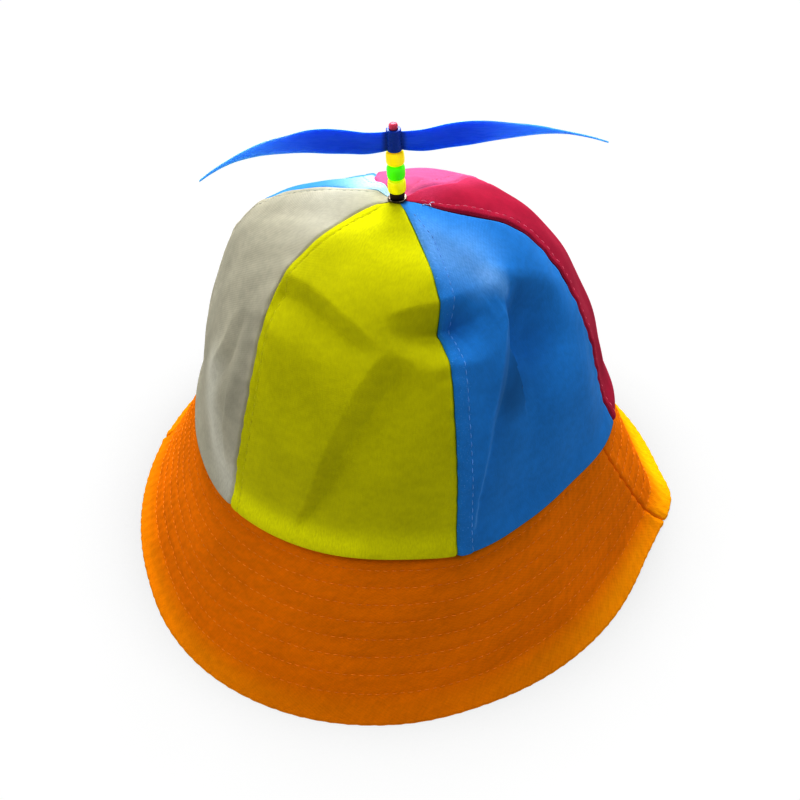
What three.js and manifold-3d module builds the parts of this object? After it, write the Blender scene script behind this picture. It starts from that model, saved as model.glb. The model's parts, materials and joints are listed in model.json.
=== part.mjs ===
// Propeller cap: six sewn gores, a two-piece brim, and a beaded mast whose propeller spins.
// Millimetres. The front faces -Y, +X is to the right seen from the front, and +Z is up.

import * as THREE from "three";
import { mergeVertices } from "three/addons/utils/BufferGeometryUtils.js";
import ManifoldModule from "manifold-3d";

// Head opening, heights and flare of the cap
const HEAD_HALF_WIDTH = 83.5;
const HEAD_HALF_LENGTH = 97.4;
const SEAM_HEIGHT = 56.4;
const CROWN_RISE = 91.0;
const CROWN_LEAN = -0.9;
const BRIM_FLARE = 30.3;

// Cloth thicknesses and fits
const CROWN_CLOTH = 1.4;
const BRIM_CLOTH = 2.4;
const BRIM_SET_BACK = 0.4;
const BRIM_BOW = 2.0;
const FIT_GAP = 0.3;
const HOLE_RADIUS = 3.0;

// Mast, measured up its own axis from the cloth at the top of the crown
const MAST_TILT = 2.9;
const PIN_RADIUS = 1.2;
const BORE_RADIUS = 1.5;
const EYELET = { flange: 3.65, shank: 2.5, bottom: -2.45, lower: -1.85, upper: 0.45, top: 1.05 };
const BUSH = { radius: 2.8, bottom: 1.3, top: 3.0 };
const BEAD = { radius: 3.45, height: 5.6, pitch: 5.85, bottom: 3.25, edge: 1.1 };
const HUB = { radius: 2.75, bottom: 20.8, top: 29.4 };
const PIN_FOOT = { radius: 4.0, bottom: -3.7, top: -2.75 };
const PIN_HEAD = { radius: 1.65, bottom: 29.65, top: 31.7 };
const ROUND_SIDES = 16;

// Blades, whose left one reaches less far because its soft tip is bent
const BLADE_REACH_RIGHT = 79.0;
const BLADE_REACH_LEFT = 71.5;
const BLADE_SECTION_POINTS = 8;
const BLADE_STEPS = 22;

// Outline of the cap from above: how far the crown seam and the brim edge stand out from the oval,
// and how far the brim draws in above its flaring lip
const PLAN = [
  { angle: 0, crown: -0.5, edge: 0.2, lip: 1.8 },
  { angle: 15, crown: 0.2, edge: -3.6, lip: 2.6 },
  { angle: 30, crown: -3.2, edge: -5.1, lip: 4.0 },
  { angle: 48, crown: -3.8, edge: -5.6, lip: 4.8 },
  { angle: 66, crown: 0.8, edge: -5.0, lip: 3.6 },
  { angle: 76, crown: 2.0, edge: -1.5, lip: 3.0 },
  { angle: 87, crown: 2.2, edge: 4.6, lip: 5.5 },
  { angle: 97, crown: 1.6, edge: 2.4, lip: 6.5 },
  { angle: 112, crown: 0.8, edge: 1.3, lip: 5.0 },
  { angle: 135, crown: 0.0, edge: 0.0, lip: 2.0 },
  { angle: 180, crown: 0.0, edge: 0.0, lip: 1.6 },
  { angle: 225, crown: -0.5, edge: -0.4, lip: 1.6 },
  { angle: 250, crown: -1.2, edge: -1.8, lip: 1.6 },
  { angle: 275, crown: -2.2, edge: -1.6, lip: 1.8 },
  { angle: 297, crown: -0.4, edge: 0.0, lip: 1.4 },
  { angle: 312, crown: 1.8, edge: 3.0, lip: 1.4 },
  { angle: 326, crown: 2.6, edge: 4.5, lip: 1.3 },
  { angle: 342, crown: 1.6, edge: 3.6, lip: 1.3 },
];

// Shoulders of the crown: a larger narrow draws the top in, a smaller rise lifts the side sooner
const SHOULDER = [
  { angle: 0, narrow: 0.82, rise: 0.93 },
  { angle: 60, narrow: 0.99, rise: 0.975 },
  { angle: 100, narrow: 0.85, rise: 0.985 },
  { angle: 125, narrow: 0.87, rise: 1.02 },
  { angle: 150, narrow: 1.05, rise: 0.92 },
  { angle: 180, narrow: 1.12, rise: 1.05 },
  { angle: 210, narrow: 1.12, rise: 1.0 },
  { angle: 235, narrow: 1.03, rise: 0.67 },
  { angle: 260, narrow: 0.8, rise: 0.75 },
  { angle: 300, narrow: 0.9, rise: 0.9 },
];

// Gores from the front to the right and round: the angle of each one's first seam at four levels
const GORE_ROWS = 20;
const SEAM_LEVELS = { hem: 0.0, side: 0.35, shoulder: 0.68, top: 0.92 };
const GORES = [
  { name: "crown_yellow", colour: 0xd6d80c, hem: -41.5, side: -42, shoulder: -56, top: -63, across: 18 },
  { name: "crown_blue", colour: 0x3789db, hem: 12, side: 13.5, shoulder: 16, top: 18, across: 18 },
  { name: "crown_rose", colour: 0xc63153, hem: 76, side: 79, shoulder: 87, top: 75, across: 9 },
  { name: "crown_pink", colour: 0xf48cc0, hem: 137, side: 140, shoulder: 141, top: 127, across: 9 },
  { name: "crown_sky", colour: 0x9ccdf0, hem: 190, side: 190, shoulder: 192, top: 210, across: 9 },
  { name: "crown_grey", colour: 0xbfbeac, hem: 251, side: 248, shoulder: 242, top: 236, across: 10 },
];

// Dents (push below zero) and ridges of the crown, each along a bent line of three points
const FOLDS = [
  { angles: [92, 86, 80], levels: [0.34, 0.25, 0.17], wide: 22, push: -3.8 },
  { angles: [-92, -90, -88], levels: [0.35, 0.25, 0.15], wide: 24, push: -1.6 },
  { angles: [-112, -108, -104], levels: [0.55, 0.52, 0.5], wide: 18, push: 1.5 },
  { angles: [-46, -24, -8], levels: [0.62, 0.61, 0.54], wide: 7.5, push: -4.2 },
  { angles: [-3, 12, 24], levels: [0.64, 0.62, 0.6], wide: 6.0, push: -3.0 },
  { angles: [0, -14, -23], levels: [0.5, 0.32, 0.06], wide: 6.5, push: -4.0 },
  { angles: [-11, -20, -29], levels: [0.5, 0.34, 0.1], wide: 8.0, push: 1.8 },
  { angles: [46, 24, 16], levels: [0.57, 0.33, 0.05], wide: 5.0, push: 2.2 },
  { angles: [54, 42, 30], levels: [0.49, 0.3, 0.13], wide: 15, push: -4.0 },
  { angles: [200, 180, 155], levels: [0.9, 0.91, 0.89], wide: 8.0, push: 2.4 },
];

// Brim halves from the right seam and from the left seam
const BRIM_COLOUR = 0xd06a04;
const LIP_START = 0.3;
const LIP_SHARE = 0.845;
const BRIM_SHARES = [0, 0.25, 0.5, 0.7, LIP_SHARE, 1];
const BRIM_COLUMNS = 46;
const BRIM_SEAMS = [
  { name: "brim_back", hem: 68, edge: 80 },
  { name: "brim_front", hem: 248, edge: 252 },
];

// Blade sections: chord, pitch from flat, lift above the hub's middle, sweep and thickness
const BLADE_NOMINAL_REACH = 75;
const BLADE = [
  { out: 2.0, chord: 7.4, pitch: 88, lift: -0.5, sweep: 0.0, thick: 1.6 },
  { out: 5.0, chord: 8.0, pitch: 89, lift: -0.9, sweep: 0.1, thick: 1.5 },
  { out: 11, chord: 8.9, pitch: 90, lift: -1.0, sweep: 0.3, thick: 1.4 },
  { out: 18.5, chord: 9.7, pitch: 90, lift: 0.1, sweep: 0.6, thick: 1.3 },
  { out: 26, chord: 9.9, pitch: 88, lift: 0.8, sweep: 0.7, thick: 1.2 },
  { out: 33, chord: 8.8, pitch: 85, lift: 1.1, sweep: 0.9, thick: 1.1 },
  { out: 40, chord: 7.0, pitch: 82, lift: 0.7, sweep: 1.5, thick: 1.0 },
  { out: 50, chord: 4.8, pitch: 70, lift: -0.2, sweep: 2.5, thick: 0.9 },
  { out: 58, chord: 3.0, pitch: 52, lift: -2.0, sweep: 3.6, thick: 0.8 },
  { out: 64, chord: 1.9, pitch: 38, lift: -4.0, sweep: 4.8, thick: 0.8 },
  { out: 70, chord: 1.3, pitch: 32, lift: -6.6, sweep: 6.2, thick: 0.7 },
  { out: 75, chord: 0.8, pitch: 30, lift: -9.3, sweep: 7.6, thick: 0.6 },
];

const { Manifold, Mesh: ManifoldMesh } = await loadManifold();

// Ready the solid modeller
async function loadManifold() {
  const module = await ManifoldModule();
  module.setup();
  return module;
}

// Knots of one column of a table
function knotsOf(rows, position, column) {
  return rows.map((row) => ({ x: row[position], y: row[column] }));
}

// Knots of one column of a table that closes on itself after a full turn
function ringOf(rows, column) {
  const knots = knotsOf(rows, "angle", column);
  const before = knots.slice(-2).map((knot) => ({ x: knot.x - 360, y: knot.y }));
  const after = knots.slice(0, 2).map((knot) => ({ x: knot.x + 360, y: knot.y }));
  return [...before, ...knots, ...after];
}

// Smooth curve through knots, held level past its ends
function along(knots, position) {
  const last = knots.length - 1;
  const x = THREE.MathUtils.clamp(position, knots[0].x, knots[last].x);
  let index = 0;
  while (index < last - 1 && knots[index + 1].x < x) index += 1;
  const start = knots[index];
  const end = knots[index + 1];
  const before = knots[Math.max(index - 1, 0)];
  const after = knots[Math.min(index + 2, last)];
  const span = end.x - start.x;
  const t = (x - start.x) / span;
  const enter = ((end.y - before.y) / (end.x - before.x)) * span;
  const leave = ((after.y - start.y) / (after.x - start.x)) * span;
  const settle = t * t * (3 - 2 * t);
  const bend = t * (1 - t) * ((1 - t) * enter - t * leave);
  return start.y + settle * (end.y - start.y) + bend;
}

// Value round the full turn
function around(ring, angle) {
  return along(ring, THREE.MathUtils.euclideanModulo(angle, 360));
}

const CROWN_PUSH = ringOf(PLAN, "crown");
const EDGE_PUSH = ringOf(PLAN, "edge");
const LIP_INSET = ringOf(PLAN, "lip");
const NARROW = ringOf(SHOULDER, "narrow");
const RISE = ringOf(SHOULDER, "rise");

// Point at an angle from the front, a reach from the axis and a height
function polar(angle, reach, height) {
  const turn = THREE.MathUtils.degToRad(angle);
  return new THREE.Vector3(reach * Math.sin(turn), -reach * Math.cos(turn), height);
}

// Reach of an oval at an angle from the front
function ovalReach(angle, halfWidth, halfLength) {
  const turn = THREE.MathUtils.degToRad(angle);
  return 1 / Math.hypot(Math.sin(turn) / halfWidth, Math.cos(turn) / halfLength);
}

// Reach of the crown at its seam with the brim
function crownReach(angle) {
  return ovalReach(angle, HEAD_HALF_WIDTH, HEAD_HALF_LENGTH) + around(CROWN_PUSH, angle);
}

// Reach of the brim at its edge
function edgeReach(angle) {
  const width = HEAD_HALF_WIDTH + BRIM_FLARE;
  const length = HEAD_HALF_LENGTH + BRIM_FLARE;
  return ovalReach(angle, width, length) + around(EDGE_PUSH, angle);
}

// Reach of the crown from its axis at a level from 0 at the hem to 1 at the top
function domeReach(angle, level) {
  return crownReach(angle) * Math.cos((level * Math.PI) / 2) ** around(NARROW, angle);
}

// Point of the smooth crown, without folds
function domePoint(angle, level) {
  const height = CROWN_RISE * Math.sin((level * Math.PI) / 2) ** around(RISE, angle);
  const point = polar(angle, domeReach(angle, level), SEAM_HEIGHT + height);
  point.x += CROWN_LEAN * level * level;
  return point;
}

// Outward direction of the smooth crown
function domeNormal(angle, level) {
  const across = domePoint(angle + 0.3, level).sub(domePoint(angle - 0.3, level));
  const up = domePoint(angle, Math.min(level + 0.004, 0.999));
  up.sub(domePoint(angle, Math.max(level - 0.004, 0)));
  return across.cross(up).normalize();
}

// Folds with their lines laid on the smooth crown
const FOLD_LINES = FOLDS.map((fold) => ({
  points: fold.angles.map((angle, index) => domePoint(angle, fold.levels[index])),
  wide: fold.wide,
  push: fold.push,
}));

// Distance from a point to a bent line
function lineDistance(point, line) {
  const closest = new THREE.Vector3();
  let nearest = Infinity;
  for (let index = 1; index < line.length; index += 1) {
    const piece = new THREE.Line3(line[index - 1], line[index]);
    piece.closestPointToPoint(point, true, closest);
    nearest = Math.min(nearest, closest.distanceTo(point));
  }
  return nearest;
}

// How far the folds push the cloth out at a point of the smooth crown
function foldPush(point, angle, level) {
  const hemFade = THREE.MathUtils.clamp(level / 0.04, 0, 1);
  const topFade = THREE.MathUtils.clamp((domeReach(angle, level) - 5) / 4, 0, 1);
  let push = 0;
  for (const fold of FOLD_LINES) {
    const share = lineDistance(point, fold.points) / fold.wide;
    push += fold.push * Math.exp(-share * share);
  }
  return push * hemFade * topFade;
}

// Outer and inner points of the crown cloth
function clothPair(angle, level) {
  const point = domePoint(angle, level);
  const normal = domeNormal(angle, level);
  const outer = point.clone().addScaledVector(normal, foldPush(point, angle, level));
  const inner = outer.clone().addScaledVector(normal, -CROWN_CLOTH);
  return { outer, inner };
}

// Level at which the crown has narrowed to the hole for the eyelet
function topLevel(angle) {
  const share = (HOLE_RADIUS / crownReach(angle)) ** (1 / around(NARROW, angle));
  return (2 / Math.PI) * Math.acos(share);
}

// Angle of a gore's first seam at a level
function seamAngle(gore, level) {
  const knots = Object.keys(SEAM_LEVELS).map((name) => ({ x: SEAM_LEVELS[name], y: gore[name] }));
  return along(knots, level);
}

// Closed wall between an outer and an inner grid, whose rows go up and columns go right
function wallGeometry(outer, inner) {
  const rows = outer.length;
  const columns = outer[0].length;
  const points = [...outer.flat(), ...inner.flat()];
  const behind = rows * columns;
  const index = [];
  const quad = (a, b, c, d) => index.push(a, b, c, a, c, d);
  for (let row = 0; row < rows - 1; row += 1) {
    for (let column = 0; column < columns - 1; column += 1) {
      const a = row * columns + column;
      const d = a + columns;
      quad(a, a + 1, d + 1, d);
      quad(behind + a, behind + d, behind + d + 1, behind + a + 1);
    }
  }
  for (let column = 0; column < columns - 1; column += 1) {
    const low = column;
    const high = (rows - 1) * columns + column;
    quad(low + 1, low, behind + low, behind + low + 1);
    quad(high, high + 1, behind + high + 1, behind + high);
  }
  for (let row = 0; row < rows - 1; row += 1) {
    const left = row * columns;
    const right = left + columns - 1;
    quad(left, left + columns, behind + left + columns, behind + left);
    quad(right + columns, right, behind + right, behind + right + columns);
  }
  return meshGeometry(points, index);
}

// Geometry from points and triangle corners
function meshGeometry(points, index) {
  const geometry = new THREE.BufferGeometry();
  geometry.setAttribute("position", new THREE.Float32BufferAttribute(points.flatMap((p) => p.toArray()), 3));
  geometry.setIndex(index);
  return geometry;
}

// One sewn gore between its own first seam and the next gore's
function goreGeometry(gore, next) {
  const outer = [];
  const inner = [];
  for (let row = 0; row <= GORE_ROWS; row += 1) {
    const share = row / GORE_ROWS;
    const first = seamAngle(gore, share);
    const turn = THREE.MathUtils.euclideanModulo(seamAngle(next, share) - first, 360);
    const reach = domeReach(first, share * topLevel(first));
    const margin = THREE.MathUtils.radToDeg(FIT_GAP / 2 / reach);
    const line = [];
    for (let column = 0; column <= gore.across; column += 1) {
      const angle = first + margin + ((turn - 2 * margin) * column) / gore.across;
      line.push(clothPair(angle, share * topLevel(angle)));
    }
    outer.push(line.map((pair) => pair.outer));
    inner.push(line.map((pair) => pair.inner));
  }
  return wallGeometry(outer, inner);
}

// Reach of the brim's upper face at a share of the way from the crown to the edge
function brimReach(angle, share) {
  const start = crownReach(angle) - BRIM_SET_BACK;
  const straight = start + (edgeReach(angle) - start) * share - BRIM_BOW * Math.sin(Math.PI * share);
  const rising = THREE.MathUtils.clamp((share - LIP_START) / (LIP_SHARE - LIP_START), 0, 1) ** 1.6;
  const falling = (1 - share) / (1 - LIP_SHARE);
  return straight - around(LIP_INSET, angle) * Math.min(rising, falling);
}

// One half of the brim, level along its lower edge so that it stands on a table
function brimGeometry(half, next) {
  const topHeight = SEAM_HEIGHT - FIT_GAP;
  const inset = BRIM_CLOTH * Math.hypot(1, BRIM_FLARE / topHeight);
  const margin = THREE.MathUtils.radToDeg(FIT_GAP / 2 / HEAD_HALF_WIDTH);
  const outer = [];
  const inner = [];
  for (const share of BRIM_SHARES.toReversed()) {
    const height = topHeight * (1 - share);
    const first = THREE.MathUtils.lerp(half.hem, half.edge, share);
    const last = THREE.MathUtils.lerp(next.hem, next.edge, share);
    const turn = THREE.MathUtils.euclideanModulo(last - first, 360) - 2 * margin;
    const outerLine = [];
    const innerLine = [];
    for (let column = 0; column <= BRIM_COLUMNS; column += 1) {
      const angle = first + margin + (turn * column) / BRIM_COLUMNS;
      const reach = brimReach(angle, share);
      outerLine.push(polar(angle, reach, height));
      innerLine.push(polar(angle, reach - inset, height));
    }
    outer.push(outerLine);
    inner.push(innerLine);
  }
  return wallGeometry(outer, inner);
}

// Turned piece about the mast from a closed profile of radius and height pairs
function turnedGeometry(profile) {
  const points = [...profile, profile[0]].map(([radius, height]) => new THREE.Vector2(radius, height));
  const geometry = new THREE.LatheGeometry(points, ROUND_SIDES);
  geometry.deleteAttribute("uv");
  geometry.deleteAttribute("normal");
  geometry.rotateX(Math.PI / 2);
  return mergeVertices(geometry, 1e-4);
}

// Spool-shaped eyelet that grips the cloth
function eyeletGeometry() {
  return turnedGeometry([
    [BORE_RADIUS, EYELET.bottom],
    [EYELET.flange, EYELET.bottom],
    [EYELET.flange, EYELET.lower],
    [EYELET.shank, EYELET.lower],
    [EYELET.shank, EYELET.upper],
    [EYELET.flange, EYELET.upper],
    [EYELET.flange - 0.25, EYELET.top],
    [BORE_RADIUS, EYELET.top],
  ]);
}

// Plain bush under the beads
function bushGeometry() {
  return turnedGeometry([
    [BORE_RADIUS, BUSH.bottom],
    [BUSH.radius, BUSH.bottom],
    [BUSH.radius, BUSH.top],
    [BORE_RADIUS, BUSH.top],
  ]);
}

// Barrel bead with rounded edges
function beadGeometry(place) {
  const bottom = BEAD.bottom + place * BEAD.pitch;
  const top = bottom + BEAD.height;
  return turnedGeometry([
    [BORE_RADIUS, bottom],
    [BEAD.radius - BEAD.edge, bottom],
    [BEAD.radius - BEAD.edge * 0.35, bottom + BEAD.edge * 0.35],
    [BEAD.radius, bottom + BEAD.edge * 1.3],
    [BEAD.radius, top - BEAD.edge * 1.3],
    [BEAD.radius - BEAD.edge * 0.35, top - BEAD.edge * 0.35],
    [BEAD.radius - BEAD.edge, top],
    [BORE_RADIUS, top],
  ]);
}

// Pin with a flat foot inside the crown and a rounded head over the propeller
function pinGeometry() {
  const headMiddle = PIN_HEAD.bottom + (PIN_HEAD.top - PIN_HEAD.bottom) * 0.55;
  return turnedGeometry([
    [0, PIN_FOOT.bottom],
    [PIN_FOOT.radius, PIN_FOOT.bottom],
    [PIN_FOOT.radius, PIN_FOOT.top],
    [PIN_RADIUS, PIN_FOOT.top],
    [PIN_RADIUS, PIN_HEAD.bottom],
    [PIN_HEAD.radius, PIN_HEAD.bottom],
    [PIN_HEAD.radius, headMiddle],
    [PIN_HEAD.radius * 0.7, PIN_HEAD.top - 0.25],
    [0, PIN_HEAD.top],
  ]);
}

// Blade along +X, or turned half round the mast for the left one
function bladeGeometry(reach, turned) {
  const stretch = reach / BLADE_NOMINAL_REACH;
  const middle = (HUB.bottom + HUB.top) / 2;
  const names = Object.keys(BLADE[0]);
  const columns = Object.fromEntries(names.map((name) => [name, knotsOf(BLADE, "out", name)]));
  const side = turned ? -1 : 1;
  const points = [];
  for (let step = 0; step <= BLADE_STEPS; step += 1) {
    const out = THREE.MathUtils.lerp(BLADE[0].out, BLADE_NOMINAL_REACH, step / BLADE_STEPS);
    const half = along(columns.chord, out) / 2;
    const thick = along(columns.thick, out) / 2;
    const pitch = THREE.MathUtils.degToRad(along(columns.pitch, out));
    const distance = BLADE[0].out + (out - BLADE[0].out) * stretch;
    for (let corner = 0; corner < BLADE_SECTION_POINTS; corner += 1) {
      const turn = (2 * Math.PI * corner) / BLADE_SECTION_POINTS;
      const chordwise = half * Math.cos(turn);
      const through = thick * Math.sin(turn);
      const y = along(columns.sweep, out) - chordwise * Math.cos(pitch) - through * Math.sin(pitch);
      const z = middle + along(columns.lift, out) + chordwise * Math.sin(pitch) - through * Math.cos(pitch);
      points.push(new THREE.Vector3(side * distance, side * y, z));
    }
  }
  return meshGeometry(points, loftIndex(BLADE_STEPS + 1, BLADE_SECTION_POINTS));
}

// Triangle corners of a loft through rings of points, closed at both ends
function loftIndex(rings, sides) {
  const index = [];
  for (let ring = 0; ring < rings - 1; ring += 1) {
    for (let side = 0; side < sides; side += 1) {
      const a = ring * sides + side;
      const b = ring * sides + ((side + 1) % sides);
      index.push(a, b, b + sides, a, b + sides, a + sides);
    }
  }
  const last = (rings - 1) * sides;
  for (let side = 1; side < sides - 1; side += 1) {
    index.push(0, side + 1, side, last, last + side, last + side + 1);
  }
  return index;
}

// Solid of the modeller from a closed geometry
function solidOf(geometry) {
  const vertProperties = new Float32Array(geometry.getAttribute("position").array);
  const triVerts = new Uint32Array(geometry.getIndex().array);
  return new Manifold(new ManifoldMesh({ numProp: 3, vertProperties, triVerts }));
}

// Propeller: a bored hub with its two blades, moulded in one
function propellerGeometry() {
  const hub = turnedGeometry([
    [BORE_RADIUS, HUB.bottom],
    [HUB.radius, HUB.bottom],
    [HUB.radius, HUB.top],
    [BORE_RADIUS, HUB.top],
  ]);
  const right = bladeGeometry(BLADE_REACH_RIGHT, false);
  const left = bladeGeometry(BLADE_REACH_LEFT, true);
  const joined = solidOf(hub).add(solidOf(right)).add(solidOf(left)).getMesh();
  const geometry = new THREE.BufferGeometry();
  geometry.setAttribute("position", new THREE.BufferAttribute(new Float32Array(joined.vertProperties), 3));
  geometry.setIndex([...joined.triVerts]);
  return geometry;
}

// Named piece with its own material
function piece(name, geometry, color, roughness, metalness = 0) {
  geometry.computeVertexNormals();
  const mesh = new THREE.Mesh(geometry, new THREE.MeshStandardMaterial({ color, roughness, metalness }));
  mesh.name = name;
  return mesh;
}

// Crown of sewn gores
function buildCrown() {
  const crown = new THREE.Group();
  GORES.forEach((gore, index) => {
    const next = GORES[(index + 1) % GORES.length];
    crown.add(piece(gore.name, goreGeometry(gore, next), gore.colour, 0.9));
  });
  return crown;
}

// Brim of two halves
function buildBrim() {
  const brim = new THREE.Group();
  BRIM_SEAMS.forEach((half, index) => {
    const next = BRIM_SEAMS[(index + 1) % BRIM_SEAMS.length];
    brim.add(piece(half.name, brimGeometry(half, next), BRIM_COLOUR, 0.9));
  });
  return brim;
}

// Mast with its beads and propeller, leaning to the left on the top of the crown
function buildMast() {
  const mast = new THREE.Group();
  mast.add(piece("eyelet", eyeletGeometry(), 0x8a8378, 0.4, 1));
  mast.add(piece("base_bush", bushGeometry(), 0x1c1210, 0.5));
  mast.add(piece("bead_yellow", beadGeometry(0), 0xe6e612, 0.35));
  mast.add(piece("bead_green", beadGeometry(1), 0x4fe60a, 0.35));
  mast.add(piece("bead_orange", beadGeometry(2), 0xffd60a, 0.35));
  mast.add(piece("mast_pin", pinGeometry(), 0xe0506e, 0.4));
  mast.add(piece("propeller", propellerGeometry(), 0x0a41d8, 0.25));
  mast.rotation.y = THREE.MathUtils.degToRad(-MAST_TILT);
  mast.position.set(CROWN_LEAN, 0, SEAM_HEIGHT + CROWN_RISE);
  return mast;
}

// Whole cap, with the origin under the middle of its box
function buildCap() {
  const cap = new THREE.Group();
  cap.name = "propeller_cap";
  cap.add(buildCrown(), buildBrim(), buildMast());
  const box = new THREE.Box3().setFromObject(cap, true);
  const middle = box.getCenter(new THREE.Vector3());
  cap.position.set(-middle.x, -middle.y, -box.min.z);
  return cap;
}

export default buildCap();
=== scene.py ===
"""Looks of a propeller cap: a crown of sewn gores, a quilted brim and a beaded mast with its propeller."""

import json
import logging
import math
from dataclasses import dataclass, field, replace
from enum import Enum
from typing import Any, NamedTuple

import bpy
import numpy as np
from mathutils import Euler, Matrix, Vector


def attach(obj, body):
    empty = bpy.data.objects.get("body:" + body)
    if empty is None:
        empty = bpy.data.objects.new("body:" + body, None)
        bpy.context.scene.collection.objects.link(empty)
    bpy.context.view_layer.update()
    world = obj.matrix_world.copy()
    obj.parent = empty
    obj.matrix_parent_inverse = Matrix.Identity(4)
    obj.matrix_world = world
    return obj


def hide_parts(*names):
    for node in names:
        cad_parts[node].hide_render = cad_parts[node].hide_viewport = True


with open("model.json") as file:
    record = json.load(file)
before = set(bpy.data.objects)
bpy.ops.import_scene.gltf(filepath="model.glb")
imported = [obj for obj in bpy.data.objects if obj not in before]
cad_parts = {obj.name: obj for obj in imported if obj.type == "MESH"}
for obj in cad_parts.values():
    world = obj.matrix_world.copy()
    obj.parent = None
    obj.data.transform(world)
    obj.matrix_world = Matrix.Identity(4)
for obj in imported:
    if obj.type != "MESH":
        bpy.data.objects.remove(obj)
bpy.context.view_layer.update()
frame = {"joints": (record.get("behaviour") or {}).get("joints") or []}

LOG = logging.getLogger("propeller_cap")
MM = 0.001
FULL_TURN = 2.0 * math.pi
UV_SPAN = 250.0
WEAVE_MAP = "weave"
WORN = "worn"
# Mark of painted light and shade on the cloth: above zero a painted highlight, below zero painted shade
PAINTED_LIGHT = "painted_light"
NOISE_RANGE = (0.3, 0.7)
SCUFF_RANGE = (0.3, 0.75)
EVEN = (1.0, 1.0, 1.0)
WHITE = (1.0, 1.0, 1.0, 1.0)
SEAM_LEVELS = (0.0, 0.35, 0.68, 0.92)
# Angles are in degrees, and lengths of the mast and the propeller in millimetres
SHARP_EDGE = 55.0
MAST_TILT = 2.9
BORE = 1.5
HUB_MIDDLE = 25.1
HUB_RADIUS = 2.75
BLADE_LENGTH = 75.0

Array = np.ndarray
Colour = tuple[float, float, float]
Faces = list[tuple[int, ...]]
Solid = tuple[Array, Faces]


class Body(Enum):
    """Rigid bodies of the cap."""

    CAP = "cap"
    PROPELLER = "propeller"


class Lean(Enum):
    """Way in which the rib of a twill leans, in degrees."""

    RIGHT = 58.0
    LEFT = -58.0


class Side(Enum):
    """Side of the hub that a blade stands on."""

    RIGHT = 1.0
    LEFT = -1.0


def srgb(red: float, green: float, blue: float) -> Colour:
    """Turns screen values from 0 to 255 into linear colour.

    Args:
        red: Red share.
        green: Green share.
        blue: Blue share.

    Returns:
        The linear colour.
    """
    shares = np.array((red, green, blue)) / 255.0
    linear = np.where(shares <= 0.04045, shares / 12.92, ((shares + 0.055) / 1.055) ** 2.4)
    return tuple(float(share) for share in linear)


def rgba(colour: Colour, factor: float = 1.0) -> tuple[float, float, float, float]:
    """Gives a colour, made lighter or darker by a factor, with full cover."""
    return tuple(min(share * factor, 1.0) for share in colour) + (1.0,)


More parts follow.
